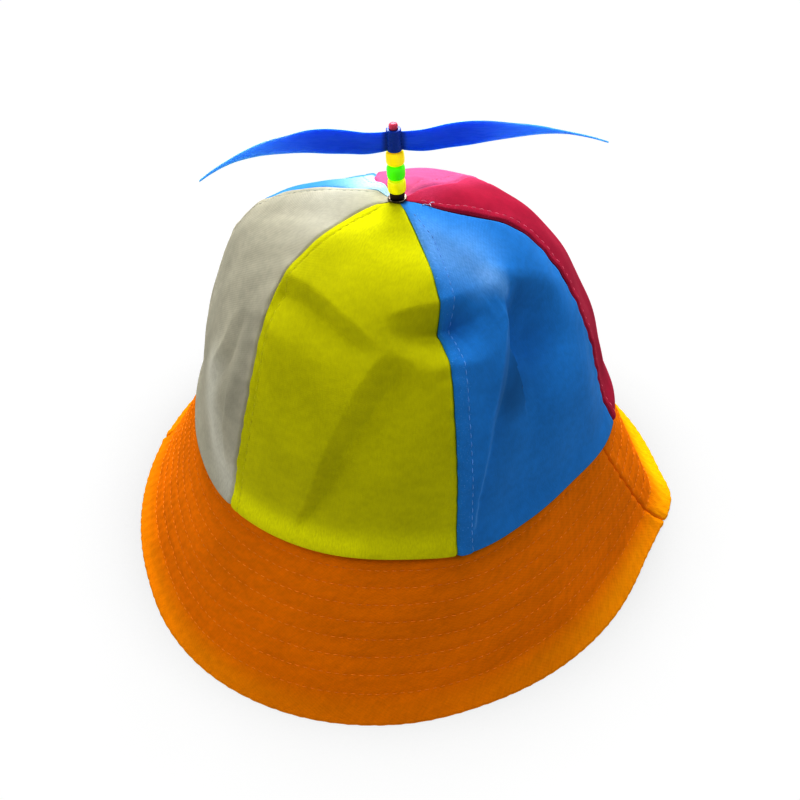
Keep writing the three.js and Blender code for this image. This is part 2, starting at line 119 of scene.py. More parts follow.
class Desk:
    """Node tree of one material, with short calls that add and join nodes."""

    def __init__(self, name: str) -> None:
        """Starts a material with its shader node.

        Args:
            name: Name of the material.
        """
        self.material = bpy.data.materials.new(name)
        self.material.use_nodes = True
        self.tree = self.material.node_tree
        self.shader = self.tree.nodes["Principled BSDF"]

    def add(self, kind: str, **settings: Any) -> bpy.types.Node:
        """Adds a node.

        Args:
            kind: Node type without its prefix.
            settings: Node properties to set.

        Returns:
            The new node.
        """
        node = self.tree.nodes.new("ShaderNode" + kind)
        for key, value in settings.items():
            setattr(node, key, value)
        return node

    def feed(self, target: Any, value: Any) -> None:
        """Joins a socket to a target socket, or sets a plain value there."""
        if isinstance(value, bpy.types.NodeSocket):
            self.tree.links.new(value, target)
        else:
            target.default_value = value

    def cloth_place(self) -> bpy.types.NodeSocket:
        """Gives the place on the flat cloth, in millimetres.

        Returns:
            The socket with the place.
        """
        place = self.add("UVMap", uv_map=WEAVE_MAP)
        scale = self.add("VectorMath", operation="SCALE")
        self.feed(scale.inputs["Vector"], place.outputs["UV"])
        self.feed(scale.inputs["Scale"], UV_SPAN)
        return scale.outputs["Vector"]

    def solid_place(self) -> bpy.types.NodeSocket:
        """Gives the place in the piece's own space, in millimetres.

        Returns:
            The socket with the place.
        """
        place = self.add("TexCoord")
        scale = self.add("VectorMath", operation="SCALE")
        self.feed(scale.inputs["Vector"], place.outputs["Object"])
        self.feed(scale.inputs["Scale"], 1.0 / MM)
        return scale.outputs["Vector"]

    def turned(self, place: Any, degrees: float, stretch: tuple[float, float, float]) -> bpy.types.NodeSocket:
        """Turns and stretches a place.

        Args:
            place: Socket with the place.
            degrees: Turn in the plane of the cloth.
            stretch: Scale along each direction.

        Returns:
            The socket with the new place.
        """
        mapping = self.add("Mapping")
        self.feed(mapping.inputs["Vector"], place)
        mapping.inputs["Rotation"].default_value = (0.0, 0.0, math.radians(degrees))
        mapping.inputs["Scale"].default_value = stretch
        return mapping.outputs["Vector"]

    def ribs(self, place: Any, pitch: float, degrees: float, waver: float) -> bpy.types.NodeSocket:
        """Draws even ribs.

        Args:
            place: Socket with the place in millimetres.
            pitch: Distance from rib to rib in millimetres.
            degrees: Lean of the ribs.
            waver: How far the ribs wander.

        Returns:
            The socket with the height from 0 to 1.
        """
        wave = self.add("TexWave", wave_type="BANDS", bands_direction="X", wave_profile="SIN")
        self.feed(wave.inputs["Vector"], self.turned(place, degrees, EVEN))
        # A band texture of scale 1 repeats after a twentieth of a full turn
        wave.inputs["Scale"].default_value = FULL_TURN / 20.0 / pitch
        wave.inputs["Distortion"].default_value = waver
        wave.inputs["Detail"].default_value = 1.0
        wave.inputs["Detail Scale"].default_value = 2.0
        return wave.outputs["Fac"]

    def noise(self, place: Any, grain: float, detail: float = 2.0) -> bpy.types.NodeSocket:
        """Draws soft noise with a grain in millimetres.

        Args:
            place: Socket with the place in millimetres.
            grain: Size of the grain.
            detail: How many finer grains are added.

        Returns:
            The socket with the noise.
        """
        noise = self.add("TexNoise")
        self.feed(noise.inputs["Vector"], place)
        noise.inputs["Scale"].default_value = 1.0 / grain
        noise.inputs["Detail"].default_value = detail
        return noise.outputs["Fac"]

    def sum(self, operation: str, first: Any, second: Any) -> bpy.types.NodeSocket:
        """Works out one sum of two values or sockets.

        Args:
            operation: Kind of sum.
            first: First value or socket.
            second: Second value or socket.

        Returns:
            The socket with the result.
        """
        node = self.add("Math", operation=operation)
        self.feed(node.inputs[0], first)
        self.feed(node.inputs[1], second)
        return node.outputs[0]

    def spread(
        self, value: Any, low: float, high: float, to_low: float, to_high: float
    ) -> bpy.types.NodeSocket:
        """Maps a value from one range to another.

        Args:
            value: Socket with the value.
            low: Start of its range.
            high: End of its range.
            to_low: Start of the new range.
            to_high: End of the new range.

        Returns:
            The socket with the mapped value.
        """
        node = self.add("MapRange", interpolation_type="SMOOTHSTEP")
        self.feed(node.inputs["Value"], value)
        for name, number in zip(("From Min", "From Max", "To Min", "To Max"), (low, high, to_low, to_high)):
            node.inputs[name].default_value = number
        return node.outputs["Result"]

    def blend(self, share: Any, first: Any, second: Any) -> bpy.types.NodeSocket:
        """Mixes two colours by a share from 0 to 1.

        Args:
            share: Share of the second colour.
            first: First colour.
            second: Second colour.

        Returns:
            The socket with the mixed colour.
        """
        node = self.add("Mix", data_type="RGBA")
        self.feed(node.inputs[0], share)
        self.feed(node.inputs[6], first)
        self.feed(node.inputs[7], second)
        return node.outputs[2]

    def bump(self, height: Any, depth: float, strength: float) -> None:
        """Bumps the shader by a height, with a depth in millimetres.

        Args:
            height: Socket with the height.
            depth: Depth of the bumps.
            strength: Strength from 0 to 1.
        """
        node = self.add("Bump")
        self.feed(node.inputs["Height"], height)
        node.inputs["Distance"].default_value = depth * MM
        node.inputs["Strength"].default_value = strength
        self.feed(self.shader.inputs["Normal"], node.outputs["Normal"])

    def set(self, **values: float) -> None:
        """Sets plain values on the shader's own sockets, with _ for a space in a name."""
        for name, value in values.items():
            self.shader.inputs[name.replace("_", " ")].default_value = value


class Grain(NamedTuple):
    """Noise in cloth or thread: its size in millimetres and its share of the tone."""

    size: float
    tone: float


@dataclass(frozen=True)
class TwillFinish:
    """Cotton twill, with its rib, uneven yarn, patches of uneven tone and pale fibres along the seams.

    Its painted light mark paints a highlight, paler cloth, where it is above zero, and painted shade,
    darker cloth, where it is below zero.
    """

    name: str
    slot: str
    colour: Colour
    deep: float = 0.8
    bright: float = 1.06
    painted_shade: float = 0.3
    # Colour of worn fibres, and of painted highlights
    pale: Colour = (0.9, 0.9, 0.9)
    fleck: float = 0.25
    fibre_size: float = 0.55
    fibre_range: tuple[float, float] = (0.58, 0.8)
    unworn_fibre: float = 0.12
    rib_pitch: float = 0.62
    weft_pitch: float = 0.434
    weft_low: float = 0.55
    lean: Lean = Lean.RIGHT
    sheen: float = 0.02
    shine: float = 0.08
    relief: float = 0.2
    relief_depth: float = 0.22
    weave: float = 0.14
    yarn: Grain = Grain(0.6, 0.22)
    mottle: Grain = Grain(3.2, 0.26)
    patch: Grain = Grain(26.0, 0.38)
    rough: tuple[float, float] = (0.8, 0.97)

    def material(self) -> bpy.types.Material:
        """Makes the material.

        Returns:
            The new material.
        """
        desk = Desk(self.name)
        place = desk.cloth_place()
        rib = desk.ribs(place, self.rib_pitch, self.lean.value, 0.9)
        weft = desk.ribs(place, self.weft_pitch, self.lean.value + 90.0, 1.2)
        weave = desk.sum("MULTIPLY", rib, desk.spread(weft, 0.0, 1.0, self.weft_low, 1.0))
        yarn = desk.noise(desk.turned(place, 0.0, (1.0, 0.3, 1.0)), self.yarn.size, 3.0)
        mottle = desk.noise(place, self.mottle.size, 3.0)
        patch = desk.noise(place, self.patch.size, 3.0)
        tone = desk.sum("MULTIPLY", weave, self.weave)
        for noise, grain in ((yarn, self.yarn), (mottle, self.mottle), (patch, self.patch)):
            tone = desk.sum("ADD", tone, desk.spread(noise, *NOISE_RANGE, 0.0, grain.tone))
        cloth = desk.blend(tone, rgba(self.colour, self.deep), rgba(self.colour, self.bright))
        worn = desk.add("Attribute", attribute_name=WORN).outputs["Fac"]
        painted_light = desk.add("Attribute", attribute_name=PAINTED_LIGHT).outputs["Fac"]
        fibre = desk.spread(desk.noise(place, self.fibre_size), *self.fibre_range, 0.0, 1.0)
        share = desk.sum("MULTIPLY", fibre, desk.spread(worn, 0.0, 1.0, self.unworn_fibre, 1.0))
        # Painted highlight, broken up a little by the yarn
        painted_light_share = desk.sum("MULTIPLY", painted_light, desk.spread(yarn, 0.25, 0.75, 0.8, 1.2))
        share = desk.sum("ADD", desk.sum("MULTIPLY", share, self.fleck), painted_light_share)
        worn_and_lit_cloth = desk.blend(share, cloth, rgba(self.pale))
        # Painted shade: the cloth darkens where the painted light mark is below zero
        painted_shade_share = desk.spread(painted_light, -1.0, 0.0, 1.0, 0.0)
        colour = desk.blend(painted_shade_share, worn_and_lit_cloth, rgba(self.colour, self.painted_shade))
        desk.feed(desk.shader.inputs["Base Color"], colour)
        desk.feed(desk.shader.inputs["Roughness"], desk.spread(yarn, 0.2, 0.8, *self.rough))
        desk.bump(desk.sum("ADD", weave, desk.sum("MULTIPLY", yarn, 0.5)), self.relief_depth, self.relief)
        desk.set(Sheen_Weight=self.sheen, Sheen_Roughness=0.45, Specular_IOR_Level=self.shine)
        return desk.material


@dataclass(frozen=True)
class ThreadFinish:
    """Sewing thread, lighter on top of its twist."""

    name: str
    slot: str
    colour: Colour
    deep: float = 0.7
    bright: float = 1.1
    twist: Grain = Grain(0.35, 0.55)
    fade: Grain = Grain(9.0, 0.45)
    rough: tuple[float, float] = (0.55, 0.8)

    def material(self) -> bpy.types.Material:
        """Makes the material.

        Returns:
            The new material.
        """
        desk = Desk(self.name)
        place = desk.solid_place()
        twist = desk.noise(place, self.twist.size)
        fade = desk.noise(place, self.fade.size)
        twist_tone = desk.spread(twist, *NOISE_RANGE, 0.0, self.twist.tone)
        tone = desk.sum("ADD", twist_tone, desk.spread(fade, *NOISE_RANGE, 0.0, self.fade.tone))
        colour = desk.blend(tone, rgba(self.colour, self.deep), rgba(self.colour, self.bright))
        desk.feed(desk.shader.inputs["Base Color"], colour)
        desk.feed(desk.shader.inputs["Roughness"], desk.spread(twist, 0.2, 0.8, *self.rough))
        desk.bump(twist, 0.08, 0.5)
        desk.set(Sheen_Weight=0.2, Sheen_Roughness=0.4)
        return desk.material


@dataclass(frozen=True)
class PlasticFinish:
    """Moulded plastic with flow marks, fine scuffs, a little light inside from scattering, and a painted glow
    from emission.
    """

    name: str
    slot: str
    colour: Colour
    deep: float = 0.75
    gloss: float = 0.25
    inner_light: float = 0.0
    painted_glow: float = 0.0
    coat: float = 0.1
    bright: float = 1.08
    flow_size: float = 3.0
    scuff_size: float = 0.4
    scuff_dulling: float = 0.18

    def material(self) -> bpy.types.Material:
        """Makes the material.

        Returns:
            The new material.
        """
        desk = Desk(self.name)
        place = desk.solid_place()
        flow = desk.noise(desk.turned(place, 20.0, (1.0, 1.0, 0.4)), self.flow_size)
        scuff = desk.noise(place, self.scuff_size, 3.0)
        tone = desk.spread(flow, *NOISE_RANGE, 0.0, 1.0)
        colour = desk.blend(tone, rgba(self.colour, self.deep), rgba(self.colour, self.bright))
        rough = desk.spread(scuff, *SCUFF_RANGE, self.gloss, self.gloss + self.scuff_dulling)
        desk.feed(desk.shader.inputs["Base Color"], colour)
        # Emission of the plastic's own colour: a painted glow standing in for light shining through
        desk.feed(desk.shader.inputs["Emission Color"], colour)
        desk.feed(desk.shader.inputs["Roughness"], rough)
        desk.bump(desk.sum("ADD", flow, desk.sum("MULTIPLY", scuff, 0.2)), 0.05, 0.3)
        desk.shader.inputs["Subsurface Radius"].default_value = EVEN
        desk.set(Subsurface_Weight=self.inner_light, Subsurface_Scale=0.003, Coat_Weight=self.coat)
        desk.set(Emission_Strength=self.painted_glow, Specular_IOR_Level=0.3)
        return desk.material


@dataclass(frozen=True)
class BladeFinish:
    """Glossy plastic, painted lighter towards the blade tips as light shining through, painted darker on the
    hub as shade, and with a painted glow on the blades.
    """

    name: str
    slot: str
    colour: Colour
    lit_tip: Colour
    hub_x: float
    painted_glow: float = 0.15
    hub_shade: float = 0.65
    root_length: float = 2.5
    tip_light_span: tuple[float, float] = (22.5, 60.0)
    flow_size: float = 2.5
    scuff_size: float = 0.5
    rough: tuple[float, float] = (0.22, 0.36)

    def material(self) -> bpy.types.Material:
        """Makes the material.

        Returns:
            The new material.
        """
        desk = Desk(self.name)
        place = desk.solid_place()
        split = desk.add("SeparateXYZ")
        desk.feed(split.inputs[0], place)
        out = desk.sum("ABSOLUTE", desk.sum("SUBTRACT", split.outputs[0], self.hub_x), 0.0)
        flow = desk.noise(desk.turned(place, 0.0, (0.25, 1.0, 1.0)), self.flow_size, 3.0)
        scuff = desk.noise(desk.turned(place, 0.0, (0.1, 1.0, 1.0)), self.scuff_size, 3.0)
        # Painted light: the blades grow lighter towards their tips, as light shining through the plastic
        tip_light = desk.spread(out, *self.tip_light_span, 0.0, 0.9)
        tip_light = desk.sum("ADD", tip_light, desk.spread(flow, *NOISE_RANGE, 0.0, 0.1))
        blade = desk.spread(out, HUB_RADIUS, HUB_RADIUS + self.root_length, 0.0, 1.0)
        colour = desk.blend(tip_light, rgba(self.colour), rgba(self.lit_tip))
        # Painted shade on the hub and the blade roots
        shaded = desk.blend(blade, rgba(self.colour, self.hub_shade), colour)
        desk.feed(desk.shader.inputs["Base Color"], shaded)
        # Painted glow on the blades from emission
        desk.feed(desk.shader.inputs["Emission Color"], colour)
        desk.feed(desk.shader.inputs["Emission Strength"], desk.sum("MULTIPLY", blade, self.painted_glow))
        desk.feed(desk.shader.inputs["Roughness"], desk.spread(scuff, *SCUFF_RANGE, *self.rough))
        desk.bump(desk.sum("ADD", flow, desk.sum("MULTIPLY", scuff, 0.2)), 0.06, 0.3)
        desk.shader.inputs["Subsurface Radius"].default_value = EVEN
        desk.set(Subsurface_Weight=0.85, Subsurface_Scale=0.002, Specular_IOR_Level=0.25)
        return desk.material


@dataclass(frozen=True)
class MetalFinish:
    """Pressed metal with turning marks and tarnish."""

    name: str
    slot: str
    colour: Colour
    tarnish: Colour
    spot_size: float = 1.2
    spot_range: tuple[float, float] = (0.42, 0.66)
    mark_size: float = 0.5
    rough: tuple[float, float] = (0.28, 0.5)

    def material(self) -> bpy.types.Material:
        """Makes the material.

        Returns:
            The new material.
        """
        desk = Desk(self.name)
        place = desk.solid_place()
        spots = desk.noise(place, self.spot_size, 3.0)
        marks = desk.noise(desk.turned(place, 0.0, (0.3, 0.3, 4.0)), self.mark_size)
        share = desk.spread(spots, *self.spot_range, 0.0, 1.0)
        desk.feed(desk.shader.inputs["Base Color"], desk.blend(share, rgba(self.colour), rgba(self.tarnish)))
        desk.feed(desk.shader.inputs["Roughness"], desk.spread(marks, *NOISE_RANGE, *self.rough))
        desk.bump(marks, 0.04, 0.3)
        desk.set(Metallic=1.0)
        return desk.material


@dataclass(frozen=True)
class Site:
    """Where the crown's axis meets the table, and how the mast stands on the crown."""

    axis: Vector
    mast: Matrix

    def place(self, points: Array) -> Array:
        """Moves points of the cap, in millimetres from its axis, into the frame, in metres."""
        return (points + np.array(self.axis)) * MM

    def place_on_mast(self, points: Array) -> Array:
        """Moves points of the mast, in millimetres up its own axis, into the frame, in metres."""
        turn = np.array(self.mast.to_3x3())
        return self.place(points @ turn.T + np.array(self.mast.translation))


def add_piece(
    name: str,
    points: Array,
    faces: Faces,
    finish: Any,
    body: Body,
    nodes: tuple[str, ...] = (),
    flat: Array | None = None,
    marks: dict[str, Array] | None = None,
) -> bpy.types.Object:
    """Makes one mesh piece, dresses it and ties it to its body.

    Args:
        name: Name of the piece.
        points: Corner places in metres.
        faces: Corners of each face.
        finish: Finish that makes its material and knows its slot.
        body: Body that it rides on.
        nodes: Nodes of the frame that it stands for.
        flat: Place of each corner on the flat cloth, in millimetres.
        marks: Wear of the cloth at each corner, by name.

    Returns:
        The new object.
    """
    mesh = bpy.data.meshes.new(name)
    mesh.from_pydata(points.tolist(), [], faces)
    mesh.shade_smooth()
    mesh.set_sharp_from_angle(angle=math.radians(SHARP_EDGE))
    if flat is not None:
        corners = np.empty(len(mesh.loops), np.int32)
        mesh.loops.foreach_get("vertex_index", corners)
        layer = mesh.uv_layers.new(name=WEAVE_MAP)
        layer.uv.foreach_set("vector", (flat[corners] / UV_SPAN).astype(np.float32).ravel())
    for label, shares in (marks or {}).items():
        mesh.attributes.new(label, "FLOAT", "POINT").data.foreach_set("value", shares.astype(np.float32))
    mesh.materials.append(bpy.data.materials.get(finish.name) or finish.material())
    piece = bpy.data.objects.new(name, mesh)
    bpy.context.scene.collection.objects.link(piece)
    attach(piece, body.value)
    if nodes:
        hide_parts(*nodes)
    LOG.info("%s: %d faces on %s", name, len(faces), body.value)
    return piece


def smooth_curve(knots: Array, values: Array, position: Array) -> Array:
    """Reads a smooth curve through knots, held level past its ends.

    Args:
        knots: Positions of the knots, rising.
        values: Value at each knot.
        position: Where to read the curve.

    Returns:
        The values there.
    """
    knots, values = np.asarray(knots, float), np.asarray(values, float)
    last = len(knots) - 1
    x = np.clip(position, knots[0], knots[last])
    index = np.clip(np.searchsorted(knots, x, side="left") - 1, 0, last - 1)
    before, after = np.maximum(index - 1, 0), np.minimum(index + 2, last)
    span = knots[index + 1] - knots[index]
    t = (x - knots[index]) / span
    enter = (values[index + 1] - values[before]) / (knots[index + 1] - knots[before]) * span
    leave = (values[after] - values[index]) / (knots[after] - knots[index]) * span
    settle = t * t * (3.0 - 2.0 * t)
    bend = t * (1.0 - t) * ((1.0 - t) * enter - t * leave)
    return values[index] + settle * (values[index + 1] - values[index]) + bend


def ring_curve(rows: tuple[NamedTuple, ...], column: str, angle: Array) -> Array:
    """Reads one column of a table that closes on itself after a full turn.

    Args:
        rows: Table with an angle in each row.
        column: Column to read.
        angle: Angles from the front, in degrees.

    Returns:
        The values there.
    """
    knots = np.array([row.angle for row in rows])
    values = np.array([getattr(row, column) for row in rows])
    wide = np.concatenate([knots[-2:] - 360.0, knots, knots[:2] + 360.0])
    return smooth_curve(wide, np.concatenate([values[-2:], values, values[:2]]), np.mod(angle, 360.0))


def wall_faces(rows: int, columns: int) -> Faces:
    """Lists the faces of a closed wall between an outer and an inner grid.

    Args:
        rows: Rows of each grid, going up.
        columns: Columns of each grid, going right.

    Returns:
        The corners of each face.
    """
    grid = np.arange(rows * columns).reshape(rows, columns)
    back = grid + rows * columns
    a, b, c, d = grid[:-1, :-1], grid[:-1, 1:], grid[1:, 1:], grid[1:, :-1]
    e, f, g, h = back[:-1, :-1], back[:-1, 1:], back[1:, 1:], back[1:, :-1]
    quads = [np.stack([a, b, c, d], -1).reshape(-1, 4), np.stack([e, h, g, f], -1).reshape(-1, 4)]
    for front, behind in (
        (grid[0, ::-1], back[0, ::-1]),
        (grid[-1], back[-1]),
        (grid[:, 0], back[:, 0]),
        (grid[::-1, -1], back[::-1, -1]),
    ):
        quads.append(np.stack([front[:-1], front[1:], behind[1:], behind[:-1]], -1))
    return [tuple(quad) for quad in np.concatenate(quads).tolist()]


def unit(vectors: Array) -> Array:
    """Scales vectors to a length of one."""
    return vectors / np.maximum(np.linalg.norm(vectors, axis=-1, keepdims=True), 1e-9)


def bell(away: Array, width: float) -> Array:
    """Gives 1 at no distance, and softly less over a width."""
    return np.exp(-((away / width) ** 2))


def ramp(value: Array, start: float, end: float) -> Array:
    """Gives 0 up to a start, 1 from an end, and an even rise between."""
    return np.clip((value - start) / (end - start), 0.0, 1.0)


def lengths_along(path: Array) -> Array:
    """Gives the distance from the start of a path to each of its points."""
    return np.concatenate([[0.0], np.cumsum(np.linalg.norm(np.diff(path, axis=0), axis=1))])


class Ripple(NamedTuple):
    """Gentle waves in many directions: seed of the draws, lengths in millimetres, number and height."""

    seed: int
    shortest: float
    longest: float
    count: int
    height: float

    def at(self, places: Array) -> Array:
        """Adds up the waves at points in millimetres.

        Args:
            places: Points in millimetres.

        Returns:
            The height at each point.
        """
        draw = np.random.default_rng(self.seed)
        ways = unit(draw.normal(size=(self.count, 3)))
        pitch = draw.uniform(self.shortest, self.longest, self.count)
        start = draw.uniform(0.0, FULL_TURN, self.count)
        total = np.zeros(places.shape[:-1])
        for way, length, phase in zip(ways, pitch, start):
            total += np.sin(places @ way * (FULL_TURN / length) + phase)
        return total * self.height / math.sqrt(self.count)


class PlanRow(NamedTuple):
    """Cap from above at an angle.

    It says how far the crown seam and the brim edge stand out from the oval, how far the lip flares
    and how strongly a highlight is painted on the lip.
    """

    angle: float
    crown: float
    edge: float
    lip: float
    lip_highlight: float


class ShoulderRow(NamedTuple):
    """How the crown draws in and rises at an angle."""

    angle: float
    narrow: float
    rise: float


@dataclass(frozen=True)
class CapForm:
    """Shape that the crown and the brim share, in millimetres from the crown's axis at the table."""

    half_width: float = 83.5
    half_length: float = 97.4
    seam_height: float = 56.4
    rise: float = 91.0
    lean: float = -0.9
    flare: float = 30.3
    hole: float = 3.0
    angle_step: float = 0.3
    level_step: float = 0.004
    highest: float = 0.999
    # Each row: angle, crown, edge, lip, and the strength of the painted highlight on the lip
    plan: tuple[PlanRow, ...] = (
        PlanRow(0.0, -0.5, 0.2, 1.8, 0.05),
        PlanRow(15.0, 0.2, -3.6, 2.6, 0.1),
        PlanRow(30.0, -3.2, -5.1, 4.0, 0.18),
        PlanRow(48.0, -3.8, -5.6, 4.8, 0.28),
        PlanRow(66.0, 0.8, -5.0, 3.6, 0.3),
        PlanRow(76.0, 2.0, -1.5, 3.0, 0.3),
        PlanRow(87.0, 2.2, 4.6, 4.4, 0.6),
        PlanRow(97.0, 1.6, 2.4, 4.8, 0.8),
        PlanRow(112.0, 0.8, 1.3, 4.0, 0.7),
        PlanRow(135.0, 0.0, 0.0, 2.0, 0.3),
        PlanRow(180.0, 0.0, 0.0, 1.6, 0.3),
        PlanRow(225.0, -0.5, -0.4, 1.6, 0.3),
        PlanRow(250.0, -1.2, -1.8, 1.6, 0.2),
        PlanRow(275.0, -2.2, -1.6, 1.8, 0.2),
        PlanRow(297.0, -0.4, 0.0, 1.4, 0.16),
        PlanRow(312.0, 1.8, 3.0, 1.4, 0.18),
        PlanRow(326.0, 2.6, 4.5, 1.3, 0.18),
        PlanRow(342.0, 1.6, 3.6, 1.3, 0.1),
    )
    shoulder: tuple[ShoulderRow, ...] = (
        ShoulderRow(0.0, 0.82, 0.93),
        ShoulderRow(60.0, 0.99, 0.975),
        ShoulderRow(100.0, 0.85, 0.985),
        ShoulderRow(125.0, 0.87, 1.02),
        ShoulderRow(150.0, 1.05, 0.92),
        ShoulderRow(180.0, 1.12, 1.05),
        ShoulderRow(210.0, 1.12, 1.0),
        ShoulderRow(235.0, 1.03, 0.67),
        ShoulderRow(260.0, 0.8, 0.75),
        ShoulderRow(300.0, 0.9, 0.9),
    )

    def polar(self, angle: Array, reach: Array, height: Array) -> Array:
        """Gives points at angles from the front, reaches from the axis and heights."""
        turn = np.radians(angle)
        return np.stack([reach * np.sin(turn), -reach * np.cos(turn), height], -1)

    def oval(self, angle: Array, out: float) -> Array:
        """Gives the reach of the head's oval, widened by a distance."""
        turn = np.radians(angle)
        return 1.0 / np.hypot(np.sin(turn) / (self.half_width + out), np.cos(turn) / (self.half_length + out))

    def crown_reach(self, angle: Array) -> Array:
        """Gives the reach of the crown at its seam with the brim."""
        return self.oval(angle, 0.0) + ring_curve(self.plan, "crown", angle)

    def edge_reach(self, angle: Array) -> Array:
        """Gives the reach of the brim at its edge."""
        return self.oval(angle, self.flare) + ring_curve(self.plan, "edge", angle)

    def dome_reach(self, angle: Array, level: Array) -> Array:
        """Gives the reach of the crown at a level from 0 at the hem to 1 at the top."""
        narrow = ring_curve(self.shoulder, "narrow", angle)
        return self.crown_reach(angle) * np.cos(level * math.pi / 2.0) ** narrow

    def dome(self, angle: Array, level: Array) -> Array:
        """Gives points of the smooth crown.

        Args:
            angle: Angles from the front.
            level: Levels from 0 at the hem to 1 at the top.

        Returns:
            The points in millimetres.
        """
        rise = ring_curve(self.shoulder, "rise", angle)
        height = self.seam_height + self.rise * np.sin(level * math.pi / 2.0) ** rise
        points = self.polar(angle, self.dome_reach(angle, level), height)
        points[..., 0] += self.lean * level**2
        return points

    def dome_normal(self, angle: Array, level: Array) -> Array:
        """Gives outward directions of the smooth crown.

        Args:
            angle: Angles from the front.
            level: Levels from 0 at the hem to 1 at the top.

        Returns:
            The directions, one long.
        """
        across = self.dome(angle + self.angle_step, level) - self.dome(angle - self.angle_step, level)
        above = np.minimum(level + self.level_step, self.highest)
        below = np.maximum(level - self.level_step, 0.0)
        return unit(np.cross(across, self.dome(angle, above) - self.dome(angle, below)))

    def top_level(self, angle: Array) -> Array:
        """Gives the level at which the crown has narrowed to the hole for the eyelet."""
        share = (self.hole / self.crown_reach(angle)) ** (1.0 / ring_curve(self.shoulder, "narrow", angle))
        return 2.0 / math.pi * np.arccos(share)


@dataclass(frozen=True)
class CrownLine:
    """Bent line on the smooth crown, through a few angles and levels."""

    angles: tuple[float, ...]
    levels: tuple[float, ...]
    steps: int = 14

    def measure(self, form: CapForm, points: Array, normals: Array) -> tuple[Array, Array]:
        """Measures points against the line.

        Args:
            form: Shape of the crown.
            points: Points of the smooth crown.
            normals: Outward directions there.

        Returns:
            The distance from the line, above zero on its right seen from outside, and the place along it
            in knots.
        """
        knots = np.arange(len(self.angles))
        stations = np.linspace(0.0, knots[-1], self.steps + 1)
        angles = smooth_curve(knots, self.angles, stations)
        line = form.dome(angles, smooth_curve(knots, self.levels, stations))
        nearest = np.full(points.shape[:-1], np.inf)
        along = np.zeros(points.shape[:-1])
        side = np.ones(points.shape[:-1])
        for index in range(self.steps):
            start, step = line[index], line[index + 1] - line[index]
            share = np.clip((points - start) @ step / (step @ step), 0.0, 1.0)
            away = points - start - share[..., None] * step
            distance = np.linalg.norm(away, axis=-1)
            closer = distance < nearest
            beside = np.einsum("...i,...i->...", np.cross(normals, step), away)
            nearest = np.where(closer, distance, nearest)
            along = np.where(closer, index + share, along)
            side = np.where(closer, np.where(beside > 0.0, -1.0, 1.0), side)
        return nearest * side, along * knots[-1] / self.steps


@dataclass(frozen=True)
class SoftSpot:
    """Broad soft spot along a line of the crown.

    Its amount is a push in millimetres, or a mark of painted light, which is above zero for a painted
    highlight and below zero for painted shade.
    """

    line: CrownLine
    amount: float
    wide: float

    def height(self, form: CapForm, points: Array, normals: Array) -> Array:
        """Gives the amount at points of the crown."""
        away, _ = self.line.measure(form, points, normals)
        return self.amount * bell(away, self.wide)


class CreaseRow(NamedTuple):
    """Point of a crease: its place, the crest's height, the valley's depth, and the widths across."""

    angle: float
    level: float
    crest: float
    drop: float
    before: float
    flank: float
    beyond: float


@dataclass(frozen=True)
class Crease:
    """Sharp fold of the crown: a crest along a line, a flat flank on its right and a valley beyond."""

    rows: tuple[CreaseRow, ...]
    soft: float = 0.6
    steps_per_row: int = 3
    valley_curve: float = 1.3

    def height(self, form: CapForm, points: Array, normals: Array) -> Array:
        """Works out how far the crease pushes points of the smooth crown.

        Args:
            form: Shape of the crown.
            points: Points of the smooth crown.
            normals: Outward directions there.

        Returns:
            The push at each point, in millimetres.
        """
        table = np.array(self.rows)
        line = CrownLine(tuple(table[:, 0]), tuple(table[:, 1]), self.steps_per_row * len(table))
        away, along = line.measure(form, points, normals)
        knots = np.arange(len(table))
        crest, drop, before, flank, beyond = (np.interp(along, knots, column) for column in table[:, 2:].T)
        total = np.zeros(away.shape)
        shifts = (-self.soft, 0.0, self.soft)
        for shift in shifts:
            spot = away + shift
            rise = crest * np.exp(np.minimum(spot, 0.0) / before)
            slope = crest - (crest + drop) * spot / flank
            valley = -drop * np.clip(1.0 - (spot - flank) / beyond, 0.0, 1.0) ** self.valley_curve
            total += np.where(spot < 0.0, rise, np.where(spot < flank, slope, valley))
        return total / len(shifts)


